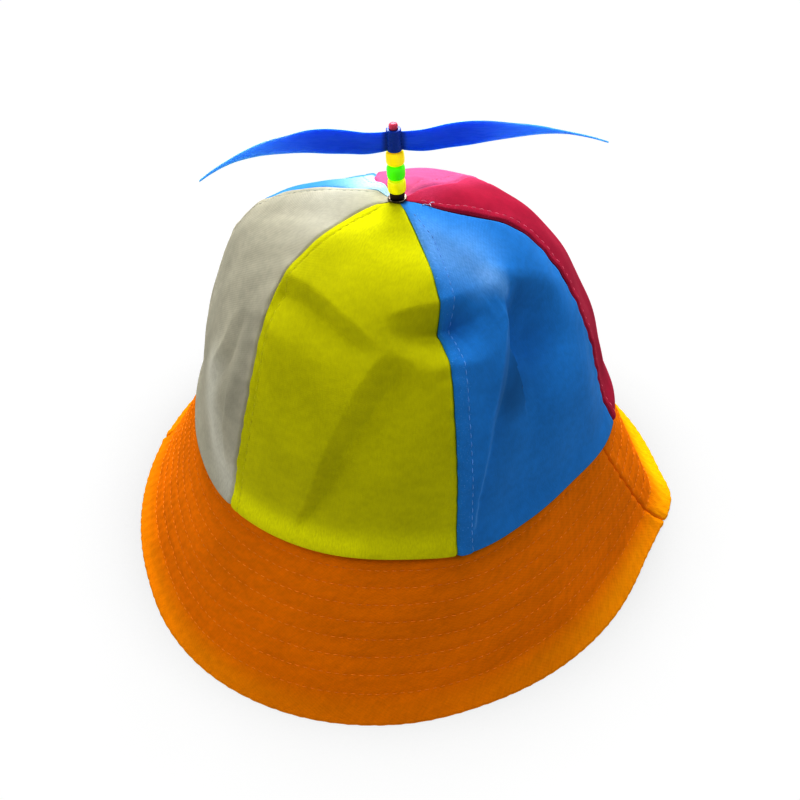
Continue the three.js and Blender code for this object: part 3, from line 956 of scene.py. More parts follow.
@dataclass(frozen=True)
class Stitching:
    """Row of single stitches along a path."""

    pitch: float = 3.2
    length: float = 2.0
    radius: float = 0.2
    rings: int = 5
    sides: int = 6
    lead: float = 0.3
    sunk: float = 0.1
    end_size: float = 0.45

    def build(self, path: Array, normals: Array, single: bool = False) -> Solid:
        """Lays stitches along a path.

        Args:
            path: Points of the path in millimetres.
            normals: Outward directions of the cloth there.
            single: Lays one strand from the start of the path in place of a row.

        Returns:
            The points and faces of the stitches.
        """
        run = lengths_along(path)
        row = np.arange(self.pitch * self.lead, run[-1] - self.length, self.pitch)
        starts = np.zeros(1) if single else row
        spots = starts[:, None] + np.linspace(0.0, self.length, self.rings)[None, :]
        centre = np.stack([np.interp(spots, run, path[:, axis]) for axis in range(3)], -1)
        outward = unit(np.stack([np.interp(spots, run, normals[:, axis]) for axis in range(3)], -1))
        arch = np.sin(np.linspace(0.0, math.pi, self.rings))
        centre = centre + outward * ((arch - self.sunk) * self.radius)[None, :, None]
        along = unit(np.gradient(centre, axis=1))
        across = unit(np.cross(along, outward))
        turn = FULL_TURN * np.arange(self.sides) / self.sides
        size = self.radius * (self.end_size + (1.0 - self.end_size) * arch)
        ring = np.cos(turn)[:, None] * outward[:, :, None, :] + np.sin(turn)[:, None] * across[:, :, None, :]
        points = centre[:, :, None, :] + ring * size[None, :, None, None]
        return points.reshape(-1, 3), self.faces(len(starts))

    def faces(self, count: int) -> Faces:
        """Lists the faces of a number of stitches.

        Args:
            count: Number of stitches.

        Returns:
            The corners of each face.
        """
        faces: Faces = []
        for stitch in range(count):
            base = stitch * self.rings * self.sides
            for ring in range(self.rings - 1):
                low = base + ring * self.sides
                for side in range(self.sides):
                    a, b = low + side, low + (side + 1) % self.sides
                    faces.append((a, a + self.sides, b + self.sides, b))
            last = base + (self.rings - 1) * self.sides
            faces.append(tuple(range(base, base + self.sides)))
            faces.append(tuple(range(last + self.sides - 1, last - 1, -1)))
        return faces


def gather(parts: list[Solid]) -> Solid:
    """Joins the points and faces of several parts into one.

    Args:
        parts: Points and faces of each part.

    Returns:
        The points and faces of all.
    """
    points: list[Array] = []
    faces: Faces = []
    count = 0
    for part_points, part_faces in parts:
        points.append(part_points)
        faces.extend(tuple(corner + count for corner in face) for face in part_faces)
        count += len(part_points)
    return np.concatenate(points), faces


@dataclass(frozen=True)
class Gore:
    """One gore of the crown.

    It has the angle of its first seam at four levels, its cloth and thread, its number of even columns,
    the share of the seam's padding, the height of its crinkles, and its spots of painted highlight and shade.
    """

    name: str
    node: str
    seam: tuple[float, float, float, float]
    cloth: TwillFinish
    thread: ThreadFinish
    across: int
    pad: float = 1.0
    crinkle: float = 0.1
    painted_light: tuple[SoftSpot, ...] = ()

    def seam_angle(self, share: Array) -> Array:
        """Gives the angle of the first seam at shares of the way up."""
        return smooth_curve(SEAM_LEVELS, self.seam, share)


@dataclass
class Crown:
    """Crown of sewn gores with pressed seams, topstitching, folds and loose thread ends."""

    form: CapForm
    site: Site
    gores: tuple[Gore, ...]
    folds: tuple[SoftSpot | Crease, ...]
    cloth: float = 1.4
    rows: int = 140
    first_row: float = 0.018
    drawn_in: float = 0.28
    fold_start: float = 0.04
    crinkle_start: float = 0.1
    flat_top: tuple[float, float] = (5.0, 9.0)
    ripple: Ripple = Ripple(11, 22.0, 60.0, 14, 0.4)
    crinkle: Ripple = Ripple(40, 10.0, 28.0, 12, 1.0)
    crinkle_stretch: tuple[float, float, float] = (1.0, 1.0, 0.3)
    pad_width: float = 4.7
    pad_height: float = 0.5
    pad_edge: float = 0.22
    groove_depth: float = 0.8
    groove_width: float = 0.7
    seam_slope: float = 1.25
    dimple_depth: float = 0.28
    dimple_width: float = 0.6
    dimple_change: float = 0.2
    # Each wave has its length in millimetres and its size
    pucker_waves: tuple[tuple[float, float], ...] = ((7.3, 1.0), (11.9, 0.8), (18.7, 0.7))
    pucker_slant: float = 0.35
    pucker_height: float = 0.15
    pucker_width: float = 8.0
    hem_flare: float = 3.0
    hem_flare_width: float = 6.5
    hem_turn: float = 1.5
    hem_turn_width: float = 1.3
    worn_left: float = 7.0
    worn_right: float = 4.0
    worn_right_share: float = 0.7
    stitching: Stitching = field(default_factory=Stitching)
    stitch_rows: tuple[float, float, int] = (0.004, 0.965, 420)
    thin_thread: float = 0.4
    loose_end: ThreadFinish = ThreadFinish("white_thread", "cloth_blue", srgb(205, 222, 240))
    loose_seam: int = 2
    loose_share: float = 0.94
    loose_beside: float = 0.3
    loose_points: int = 11
    loose_arch: float = 2.4
    loose_strand: Stitching = field(default_factory=lambda: Stitching(length=3.0, radius=0.17, rings=9))
    # Each loose end has its reach to the right, its rise and its swing to the back
    loose_paths: tuple[tuple[float, float, float], ...] = (
        (-2.6, 0.5, -1.2),
        (2.4, 1.0, 1.0),
        (1.0, 0.6, -1.6),
    )
    left_steps: tuple[float, ...] = (0.0, 0.3, 0.6, 0.95, 1.4, 2.1, 3.0, 3.8, 4.25, 4.7, 5.15, 5.7, 6.6)
    right_steps: tuple[float, ...] = (6.2, 4.6, 3.2, 2.2, 1.4, 0.95, 0.6, 0.3, 0.0)
    hem_shares: tuple[float, ...] = (0.0, 0.0006, 0.0014, 0.0026, 0.0045, 0.0075, 0.012)

    def build(self) -> list[bpy.types.Object]:
        """Builds every gore with its topstitching, and the loose thread ends.

        Returns:
            The pieces.
        """
        pieces = []
        for index in range(len(self.gores)):
            pieces.append(self.build_gore(index))
            pieces.append(self.build_topstitch(index))
        pieces.append(self.build_loose_thread())
        return pieces

    def after(self, index: int) -> int:
        """Gives the number of the gore, or of the seam, on the right of another."""
        return (index + 1) % len(self.gores)

    def shares(self) -> Array:
        """Gives the shares of the way up at which the rows lie."""
        even = np.linspace(self.first_row, 1.0, self.rows)
        return np.concatenate([self.hem_shares, even])

    def span(self, index: int, share: Array) -> tuple[Array, Array, Array]:
        """Measures a gore at shares of the way up.

        Args:
            index: Number of the gore.
            share: Shares of the way up.

        Returns:
            Its first angle, its turn in degrees and its width in millimetres.
        """
        first = self.gores[index].seam_angle(share)
        turn = np.mod(self.gores[self.after(index)].seam_angle(share) - first, 360.0)
        middle = first + turn / 2.0
        reach = self.form.dome_reach(middle, share * self.form.top_level(middle))
        return first, turn, reach * np.radians(turn)

    def steps(self, width: Array, across: int) -> tuple[Array, Array]:
        """Spaces the columns of a gore, close together along its seams.

        Args:
            width: Width of each row in millimetres.
            across: Number of even columns between the seams.

        Returns:
            The distance of each column from the first seam, and how much the seams are drawn in.
        """
        left, right = np.array(self.left_steps), np.array(self.right_steps)
        draw = np.minimum(1.0, self.drawn_in * width / left[-1])
        start = draw[:, None] * left[None, :]
        end = width[:, None] - draw[:, None] * right[None, :]
        inside = np.linspace(0.0, 1.0, across + 2)[1:-1]
        middle = start[:, -1:] + (end[:, :1] - start[:, -1:]) * inside[None, :]
        return np.concatenate([start, middle, end], 1), draw

    def fold_height(self, points: Array, normals: Array, angle: Array, level: Array) -> Array:
        """Adds up the folds at points of the smooth crown, fading out at the hem and at the eyelet.

        Args:
            points: Points of the smooth crown.
            normals: Outward directions there.
            angle: Angles from the front.
            level: Levels from 0 at the hem to 1 at the top.

        Returns:
            The height of the folds in millimetres.
        """
        hem_fade = ramp(level, 0.0, self.fold_start)
        top_fade = ramp(self.form.dome_reach(angle, level), *self.flat_top)
        height = sum(fold.height(self.form, points, normals) for fold in self.folds)
        return (height + self.ripple.at(points)) * hem_fade * top_fade

    def pucker(self, seam: int, run: Array, away: Array) -> Array:
        """Gives the small puckers beside a seam.

        Args:
            seam: Number of the seam.
            run: Distance along the seam in millimetres.
            away: Distance from the seam in millimetres.

        Returns:
            Their height in millimetres.
        """
        slant = run + self.pucker_slant * away
        shape = np.zeros(slant.shape)
        for number, (length, size) in enumerate(self.pucker_waves, 1):
            shape += size * np.sin(slant * FULL_TURN / length + number * seam)
        return self.pucker_height * shape * bell(away, self.pucker_width)

    def relief(self, index: int, left: Array, right: Array, draw: Array, points: Array) -> Array:
        """Gives the sewn relief of a gore: grooves, pressed seam, stitch dimples, puckers and hem.

        Args:
            index: Number of the gore.
            left: Distance from its first seam in millimetres.
            right: Distance from its second seam in millimetres.
            draw: How much the seams are drawn in.
            points: Points of the smooth crown.

        Returns:
            The height of the relief in millimetres.
        """
        run = points[..., 2] * self.seam_slope
        pad = self.pad_width * draw
        height = -self.groove_depth * draw * (bell(left, self.groove_width) + bell(right, self.groove_width))
        pad_shape = 1.0 / (1.0 + np.exp((left - pad) / (self.pad_edge * draw)))
        height += self.gores[index].pad * self.pad_height * draw * pad_shape
        between = np.cos(run * FULL_TURN / self.stitching.pitch)
        dimple = 1.0 - self.dimple_change + self.dimple_change * between
        height -= self.dimple_depth * draw * dimple * bell(left - pad, self.dimple_width * draw)
        height += (self.pucker(index, run, left) + self.pucker(self.after(index), run, right)) * draw
        above = points[..., 2] - self.form.seam_height
        height += self.hem_flare * bell(above, self.hem_flare_width)
        return height - self.hem_turn * np.clip(1.0 - above / self.hem_turn_width, 0.0, 1.0) ** 2

    def surface(
        self, index: int, angle: Array, share: Array, left: Array, right: Array, draw: Array
    ) -> tuple[Array, Array, Array]:
        """Works out the cloth of a gore.

        Args:
            index: Number of the gore.
            angle: Angles from the front.
            share: Shares of the way up.
            left: Distance from the first seam.
            right: Distance from the second seam.
            draw: How much the seams are drawn in.

        Returns:
            Outer points, inner points and outward directions.
        """
        level = share * self.form.top_level(angle)
        points = self.form.dome(angle, level)
        normals = self.form.dome_normal(angle, level)
        crinkle = self.crinkle._replace(seed=self.crinkle.seed + index, height=self.gores[index].crinkle)
        fold = self.fold_height(points, normals, angle, level)
        fold += crinkle.at(points * np.array(self.crinkle_stretch)) * ramp(level, 0.0, self.crinkle_start)
        relief = self.relief(index, left, right, draw, points)
        outer = points + normals * (fold + relief)[..., None]
        inner = points + normals * (fold - self.cloth)[..., None]
        return outer, inner, normals

    def build_gore(self, index: int) -> bpy.types.Object:
        """Builds the cloth of one gore.

        Args:
            index: Number of the gore.

        Returns:
            The piece.
        """
        gore = self.gores[index]
        share = self.shares()
        first, turn, width = self.span(index, share)
        left, draw = self.steps(width, gore.across)
        right = width[:, None] - left
        angle = first[:, None] + turn[:, None] * left / width[:, None]
        columns = left.shape[1]
        shares = np.repeat(share[:, None], columns, 1)
        draws = np.repeat(draw[:, None], columns, 1)
        outer, inner, normals = self.surface(index, angle, shares, left, right, draws)
        # Painted highlights and painted shade of the gore, from its spots
        painted_light = np.zeros(left.shape) + sum(spot.height(self.form, outer, normals) for spot in gore.painted_light)
        climb = lengths_along(outer[:, columns // 2])
        across = left - width[:, None] / 2.0 + UV_SPAN / 2.0
        flat = np.stack([across, np.repeat(climb[:, None], columns, 1)], -1)
        worn = bell(left, self.worn_left) + self.worn_right_share * bell(right, self.worn_right)
        points = np.concatenate([outer.reshape(-1, 3), inner.reshape(-1, 3)])
        return add_piece(
            gore.name,
            self.site.place(points),
            wall_faces(*left.shape),
            gore.cloth,
            Body.CAP,
            (gore.node,),
            np.tile(flat.reshape(-1, 2), (2, 1)),
            {WORN: np.tile(np.clip(worn, 0.0, 1.0).ravel(), 2), PAINTED_LIGHT: np.tile(painted_light.ravel(), 2)},
        )

    def build_topstitch(self, index: int) -> bpy.types.Object:
        """Builds the row of stitches beside the first seam of a gore.

        Args:
            index: Number of the gore.

        Returns:
            The piece.
        """
        gore = self.gores[index]
        share = np.linspace(*self.stitch_rows)
        first, turn, width = self.span(index, share)
        _, draw = self.steps(width, gore.across)
        left = self.pad_width * draw
        angle = first + turn * left / width
        outer, _, normals = self.surface(index, angle, share, left, width - left, draw)
        thickness = self.thin_thread + (1.0 - self.thin_thread) * gore.pad
        stitching = replace(self.stitching, radius=self.stitching.radius * thickness)
        points, faces = stitching.build(outer, normals)
        return add_piece(gore.name + "_topstitch", self.site.place(points), faces, gore.thread, Body.CAP)

    def build_loose_thread(self) -> bpy.types.Object:
        """Builds the loose thread ends beside the eyelet, on the seam between blue and rose.

        Returns:
            The piece.
        """
        share = np.array([self.loose_share])
        first, turn, width = self.span(self.loose_seam, share)
        _, draw = self.steps(width, self.gores[self.loose_seam].across)
        left = np.array([self.loose_beside])
        angle = first + turn * left / width
        outer, _, normals = self.surface(self.loose_seam, angle, share, left, width - left, draw)
        parts = []
        t = np.linspace(0.0, 1.0, self.loose_points)[:, None]
        arch = np.sin(t * self.loose_arch)
        for reach, rise, swing in self.loose_paths:
            path = outer[0] + np.array([reach, 0.0, 0.0]) * t + normals[0] * rise * arch
            path = path + np.array([0.0, swing, 0.0]) * t**2
            parts.append(self.loose_strand.build(path, np.repeat(normals, len(path), 0), True))
        points, faces = gather(parts)
        return add_piece("loose_thread_ends", self.site.place(points), faces, self.loose_end, Body.CAP)


class BrimSeam(NamedTuple):
    """Half of the brim, with the angle of its first seam at the crown and at the edge."""

    name: str
    node: str
    hem: float
    edge: float


@dataclass
class Brim:
    """Brim of two quilted halves with a turned edge, standing on the table."""

    form: CapForm
    site: Site
    cloth: TwillFinish
    thread: ThreadFinish
    halves: tuple[BrimSeam, ...] = (
        BrimSeam("brim_back_half", "brim_back", 68.0, 80.0),
        BrimSeam("brim_front_half", "brim_front", 248.0, 252.0),
    )
    thick: float = 2.4
    gap: float = 0.3
    set_back: float = 0.4
    bow: float = 2.0
    columns: int = 250
    rows: int = 86
    edge_shares: tuple[float, ...] = (0.0, 0.004, 0.009, 0.015)
    first_share: float = 0.022
    seam_steps: tuple[float, ...] = (0.0, 0.25, 0.5, 0.8, 1.2, 1.8, 2.6, 3.6, 5.0)
    slant: float = 64.0
    flat_length: float = 400.0
    first_row: float = 6.0
    row_pitch: float = 6.9
    row_count: int = 8
    row_depth: float = 0.32
    row_width: float = 1.1
    # Each wave has its rate round the brim, its shift from row to row and its size
    row_waves: tuple[tuple[float, float, float], ...] = ((0.7, 2.0, 0.12), (1.9, 1.0, 0.1))
    lip_start: float = 0.3
    lip_share: float = 0.845
    lip_most: float = 1.3
    lip_curve: float = 1.6
    lip_blend: float = 6.0
    lip_ends: tuple[float, float] = (0.2, 0.02)
    roping: float = 0.11
    roping_start: float = 6.0
    # Each wave has its rate round the brim and out to the edge, its start and its size
    roping_waves: tuple[tuple[float, float, float, float], ...] = (
        (2.3, 0.55, 0.0, 1.0),
        (3.7, -0.4, 1.0, 0.7),
    )
    swell: Ripple = Ripple(23, 35.0, 90.0, 10, 0.45)
    swell_end: float = 0.05
    hem_groove: float = 1.5
    hem_groove_width: float = 2.2
    seam_groove: float = 1.2
    seam_groove_width: float = 0.5
    seam_pad: float = 0.35
    seam_pad_place: float = 3.2
    seam_pad_width: float = 2.2
    edge_roll: float = 0.55
    edge_roll_width: float = 2.4
    edge_turn: float = 0.3
    edge_turn_width: float = 0.7
    worn_width: float = 3.0
    worn_all_over: float = 0.15
    # Where the painted highlight on the lip starts and how it grows towards the edge
    lip_highlight_shares: tuple[float, float] = (0.81, 0.93)
    lip_highlight_curve: float = 1.4
    seam_clear: float = 0.6
    stitching: Stitching = field(default_factory=lambda: Stitching(pitch=3.1, length=1.9, radius=0.165))
    stitch_steps: int = 700

    def build(self) -> list[bpy.types.Object]:
        """Builds both halves with their quilting.

        Returns:
            The pieces.
        """
        pieces = []
        for index, half in enumerate(self.halves):
            following = self.halves[(index + 1) % len(self.halves)]
            pieces.append(self.build_half(half, following))
            pieces.append(self.build_quilting(half, following))
        return pieces

    def reach(self, angle: Array, share: Array) -> Array:
        """Works out how far the smooth upper face reaches from the axis.

        Args:
            angle: Angles from the front.
            share: Shares of the way from the crown to the edge.

        Returns:
            The reach in millimetres.
        """
        start = self.form.crown_reach(angle) - self.set_back
        straight = start + (self.form.edge_reach(angle) - start) * share - self.bow * np.sin(math.pi * share)
        rising = (share - self.lip_start) / (self.lip_share - self.lip_start)
        rising = np.clip(rising, 0.0, self.lip_most) ** self.lip_curve
        falling = np.clip((1.0 - share) / (1.0 - self.lip_share), 0.0, self.lip_most)
        lesser = np.exp(-rising * self.lip_blend) + np.exp(-falling * self.lip_blend)
        inset = np.clip(-np.log(lesser) / self.lip_blend, 0.0, 1.0)
        hem_end, edge_end = self.lip_ends
        ends = ramp(share, 0.0, hem_end) * ramp(1.0 - share, 0.0, edge_end)
        return straight - ring_curve(self.form.plan, "lip", angle) * inset * ends

    def span(self, half: BrimSeam, following: BrimSeam, share: Array) -> tuple[Array, Array, Array]:
        """Measures a half at shares of the way out.

        Args:
            half: The half.
            following: The other half.
            share: Shares of the way out.

        Returns:
            Its first angle, its turn in degrees and its width in millimetres.
        """
        first = half.hem + (half.edge - half.hem) * share
        last = following.hem + (following.edge - following.hem) * share
        turn = np.mod(last - first, 360.0)
        return first, turn, np.radians(turn) * (self.form.half_width + self.form.flare * share)

    def relief(self, angle: Array, share: Array, left: Array, right: Array) -> Array:
        """Gives the sewn relief: quilting rows, seam grooves and the turned edge.

        Args:
            angle: Angles from the front.
            share: Shares of the way out.
            left: Distance from the first seam in millimetres.
            right: Distance from the second seam in millimetres.

        Returns:
            The height of the relief in millimetres.
        """
        out = share * self.slant
        height = np.zeros(np.broadcast(angle, share).shape)
        for row in range(self.row_count):
            away = out - self.first_row - self.row_pitch * row
            wander = sum(size * np.sin(angle * rate + shift * row) for rate, shift, size in self.row_waves)
            height -= (self.row_depth + wander) * bell(away, self.row_width)
        roping = np.zeros(height.shape)
        for rate, slope, start, size in self.roping_waves:
            roping += size * np.sin(angle * rate + out * slope + start)
        height += self.roping * roping * ramp(out, 0.0, self.roping_start)
        height -= self.hem_groove * bell(out, self.hem_groove_width)
        for beside in (left, right):
            height -= self.seam_groove * bell(beside, self.seam_groove_width)
            height += self.seam_pad * bell(beside - self.seam_pad_place, self.seam_pad_width)
        inward = self.slant - out
        height += self.edge_roll * bell(inward, self.edge_roll_width)
        return height - self.edge_turn * np.clip(1.0 - inward / self.edge_turn_width, 0.0, 1.0) ** 2

    def surface(self, angle: Array, share: Array, left: Array, right: Array) -> tuple[Array, Array, Array]:
        """Works out the cloth of a half.

        Args:
            angle: Angles from the front.
            share: Shares of the way out.
            left: Distance from the first seam in millimetres.
            right: Distance from the second seam in millimetres.

        Returns:
            Outer points, inner points and outward directions.
        """
        top = self.form.seam_height - self.gap
        height = top * (1.0 - share)
        outward = self.form.polar(angle, np.ones_like(angle), np.full_like(angle, self.form.flare / top))
        normals = unit(outward)
        smooth = self.form.polar(angle, self.reach(angle, share), height)
        swell = self.swell.at(smooth) * ramp(1.0 - share, 0.0, self.swell_end)
        lift = swell + self.relief(angle, share, left, right)
        outer = smooth + normals * lift[..., None]
        outer[..., 2] = np.where(share >= 1.0, 0.0, np.maximum(outer[..., 2], 0.0))
        inset = self.thick * math.hypot(1.0, self.form.flare / top)
        inner = self.form.polar(angle, self.reach(angle, share) - inset, height)
        return outer, inner, normals

    def build_half(self, half: BrimSeam, following: BrimSeam) -> bpy.types.Object:
        """Builds the cloth of one half.

        Args:
            half: The half.
            following: The other half.

        Returns:
            The piece.
        """
        share = 1.0 - np.concatenate([self.edge_shares, np.linspace(self.first_share, 1.0, self.rows)])
        first, turn, width = self.span(half, following, share)
        steps = np.array(self.seam_steps)
        inside = np.linspace(0.0, 1.0, self.columns + 2)[1:-1]
        middle = steps[-1] + (width[:, None] - 2.0 * steps[-1]) * inside[None, :]
        start = np.broadcast_to(steps, (len(share), len(steps)))
        left = np.concatenate([start, middle, width[:, None] - steps[::-1][None, :]], 1)
        right = width[:, None] - left
        angle = first[:, None] + turn[:, None] * left / width[:, None]
        shares = np.repeat(share[:, None], left.shape[1], 1)
        outer, inner, _ = self.surface(angle, shares, left, right)
        inward = (1.0 - shares) * self.slant
        flat = np.stack([left * UV_SPAN / self.flat_length, inward], -1)
        worn = bell(inward, self.worn_width) + self.worn_all_over
        # Painted highlight on the brim's lip, strongest at the right and back, standing in for light on the
        # curled edge
        towards_edge = ramp(shares, *self.lip_highlight_shares) ** self.lip_highlight_curve
        lip_highlight = ring_curve(self.form.plan, "lip_highlight", angle) * towards_edge
        points = np.concatenate([outer.reshape(-1, 3), inner.reshape(-1, 3)])
        return add_piece(
            half.name,
            self.site.place(points),
            wall_faces(*left.shape),
            self.cloth,
            Body.CAP,
            (half.node,),
            np.tile(flat.reshape(-1, 2), (2, 1)),
            {WORN: np.tile(np.clip(worn, 0.0, 1.0).ravel(), 2), PAINTED_LIGHT: np.tile(lip_highlight.ravel(), 2)},
        )

    def build_quilting(self, half: BrimSeam, following: BrimSeam) -> bpy.types.Object:
        """Builds the rows of stitches on one half.

        Args:
            half: The half.
            following: The other half.

        Returns:
            The piece.
        """
        parts = []
        for row in range(self.row_count):
            share = np.full(self.stitch_steps, (self.first_row + self.row_pitch * row) / self.slant)
            first, turn, width = self.span(half, following, share)
            along = np.linspace(0.0, 1.0, self.stitch_steps)
            left = self.seam_clear + along * (width - 2.0 * self.seam_clear)
            angle = first + turn * left / width
            outer, _, normals = self.surface(angle, share, left, width - left)
            parts.append(self.stitching.build(outer, normals))
        points, faces = gather(parts)
        return add_piece(half.name + "_quilting", self.site.place(points), faces, self.thread, Body.CAP)


def lathe(profile: Array, sides: int) -> Solid:
    """Turns a closed profile of radius and height pairs about the mast.

    Args:
        profile: Radius and height of each point, going up the outside and down the bore.
        sides: Number of sides.

    Returns:
        Points in millimetres and faces.
    """
    turn = FULL_TURN * np.arange(sides) / sides
    radius, height = profile[:, 0], profile[:, 1]
    points = np.stack(
        [
            np.cos(turn)[:, None] * radius,
            np.sin(turn)[:, None] * radius,
            np.broadcast_to(height, (sides, len(height))),
        ],
        -1,
    ).reshape(-1, 3)
    count = len(profile)
    faces = []
    for side in range(sides):
        here, there = side * count, (side + 1) % sides * count
        for index in range(count):
            after = (index + 1) % count
            faces.append((here + index, there + index, there + after, here + after))
    return points, faces


def rounded(corners: tuple[tuple[float, float, float], ...], steps: int = 6) -> Array:
    """Rounds the corners of a closed profile.

    Args:
        corners: Radius, height and rounding of each corner.
        steps: Points on each rounding.

    Returns:
        The rounded profile.
    """
    spots = np.array([corner[:2] for corner in corners])
    line = []
    for index, (radius, height, soft) in enumerate(corners):
        spot = np.array((radius, height))
        if soft <= 0.0:
            line.append(spot)
            continue
        into = spot - spots[index - 1]
        onward = spots[(index + 1) % len(spots)] - spot
        start = spot - into / np.linalg.norm(into) * soft
        end = spot + onward / np.linalg.norm(onward) * soft
        for t in np.linspace(0.0, 1.0, steps):
            line.append((1.0 - t) ** 2 * start + 2.0 * t * (1.0 - t) * spot + t**2 * end)
    return np.array(line)


class Bead(NamedTuple):
    """One bead of the mast, with its place in the row and its finish."""

    name: str
    node: str
    place: int
    finish: PlasticFinish


@dataclass
class Mast:
    """Eyelet, bush, beads and pin, measured up the mast from the top of the cloth."""

    site: Site
    beads: tuple[Bead, ...]
    metal: MetalFinish
    bush: PlasticFinish
    pin: PlasticFinish
    eyelet_radius: float = 3.65
    eyelet_shank: float = 2.5
    eyelet_bottom: float = -2.45
    eyelet_under: float = -1.85
    eyelet_over: float = 0.45
    eyelet_top: float = 1.05
    bush_radius: float = 2.8
    bush_bottom: float = 1.3
    bush_top: float = 3.0
    bead_radius: float = 3.45
    bead_height: float = 5.6
    bead_pitch: float = 5.85
    bead_bottom: float = 3.25
    bead_bulge: float = 0.04
    bead_shoulder: float = 0.18
    bead_dish: float = 0.5
    bead_dish_depth: float = 0.35
    pin_radius: float = 1.2
    pin_axis: float = 0.02
    foot_radius: float = 4.0
    foot_bottom: float = -3.7
    foot_top: float = -2.75
    head_radius: float = 1.65
    head_bottom: float = 29.65
    head_top: float = 31.7
    head_dome: float = 0.05
    sides: int = 48
    fine_steps: int = 8

    def build(self) -> list[bpy.types.Object]:
        """Builds the pieces from the cloth upwards.

        Returns:
            The pieces.
        """
        pieces = [
            self.turned("eyelet_ring", self.eyelet_profile(), self.metal, "eyelet"),
            self.turned("base_bush_dark", self.bush_profile(), self.bush, "base_bush"),
        ]
        for bead in self.beads:
            pieces.append(self.turned(bead.name, self.bead_profile(bead.place), bead.finish, bead.node))
        pieces.append(self.turned("mast_pin_round", self.pin_profile(), self.pin, "mast_pin"))
        return pieces

    def turned(self, name: str, profile: Array, finish: Any, node: str) -> bpy.types.Object:
        """Turns a profile about the mast and dresses it."""
        points, faces = lathe(profile, self.sides)
        return add_piece(name, self.site.place_on_mast(points), faces, finish, Body.CAP, (node,))

    def eyelet_profile(self) -> Array:
        """Gives the eyelet, a spool with rolled flanges."""
        return rounded(
            (
                (BORE, self.eyelet_bottom, 0.0),
                (self.eyelet_radius, self.eyelet_bottom, 0.25),
                (self.eyelet_radius, self.eyelet_under, 0.25),
                (self.eyelet_shank, self.eyelet_under, 0.0),
                (self.eyelet_shank, self.eyelet_over, 0.0),
                (self.eyelet_radius, self.eyelet_over, 0.25),
                (self.eyelet_radius - 0.05, self.eyelet_top, 0.3),
                (self.eyelet_shank - 0.1, self.eyelet_top, 0.3),
                (BORE, self.eyelet_top - 0.35, 0.0),
            )
        )

    def bush_profile(self) -> Array:
        """Gives the plain bush under the beads."""
        return rounded(
            (
                (BORE, self.bush_bottom, 0.0),
                (self.bush_radius, self.bush_bottom, 0.3),
                (self.bush_radius, self.bush_top, 0.4),
                (BORE, self.bush_top, 0.0),
            )
        )

    def bead_profile(self, place: int) -> Array:
        """Gives a barrel bead with full round edges and a dished bore.

        Args:
            place: Place in the row, from 0 at the cloth.

        Returns:
            The rounded profile.
        """
        bottom = self.bead_bottom + place * self.bead_pitch
        top = bottom + self.bead_height
        shoulder = self.bead_radius - self.bead_shoulder
        dish = BORE + self.bead_dish
        return rounded(
            (
                (BORE, bottom + self.bead_dish_depth, 0.3),
                (dish, bottom, 0.3),
                (shoulder, bottom, 1.25),
                (self.bead_radius + self.bead_bulge, (bottom + top) / 2.0, 1.2),
                (shoulder, top, 1.25),
                (dish, top, 0.3),
                (BORE, top - self.bead_dish_depth, 0.3),
            ),
            self.fine_steps,
        )

    def pin_profile(self) -> Array:
        """Gives the pin, with a flat foot inside the crown and a domed head."""
        return rounded(
            (
                (self.pin_axis, self.foot_bottom, 0.0),
                (self.foot_radius, self.foot_bottom, 0.25),
                (self.foot_radius, self.foot_top, 0.25),
                (self.pin_radius, self.foot_top, 0.0),
                (self.pin_radius, self.head_bottom, 0.0),
                (self.head_radius, self.head_bottom, 0.15),
                (self.head_radius, self.head_top + self.head_dome, 1.2),
                (self.pin_axis, self.head_top, 0.0),
            ),
            self.fine_steps,
        )


class BladeRow(NamedTuple):
    """Section of a blade at a distance out: chord, pitch from flat, lift, sweep and thickness."""

    out: float
    chord: float
    pitch: float
    lift: float
    sweep: float
    thick: float


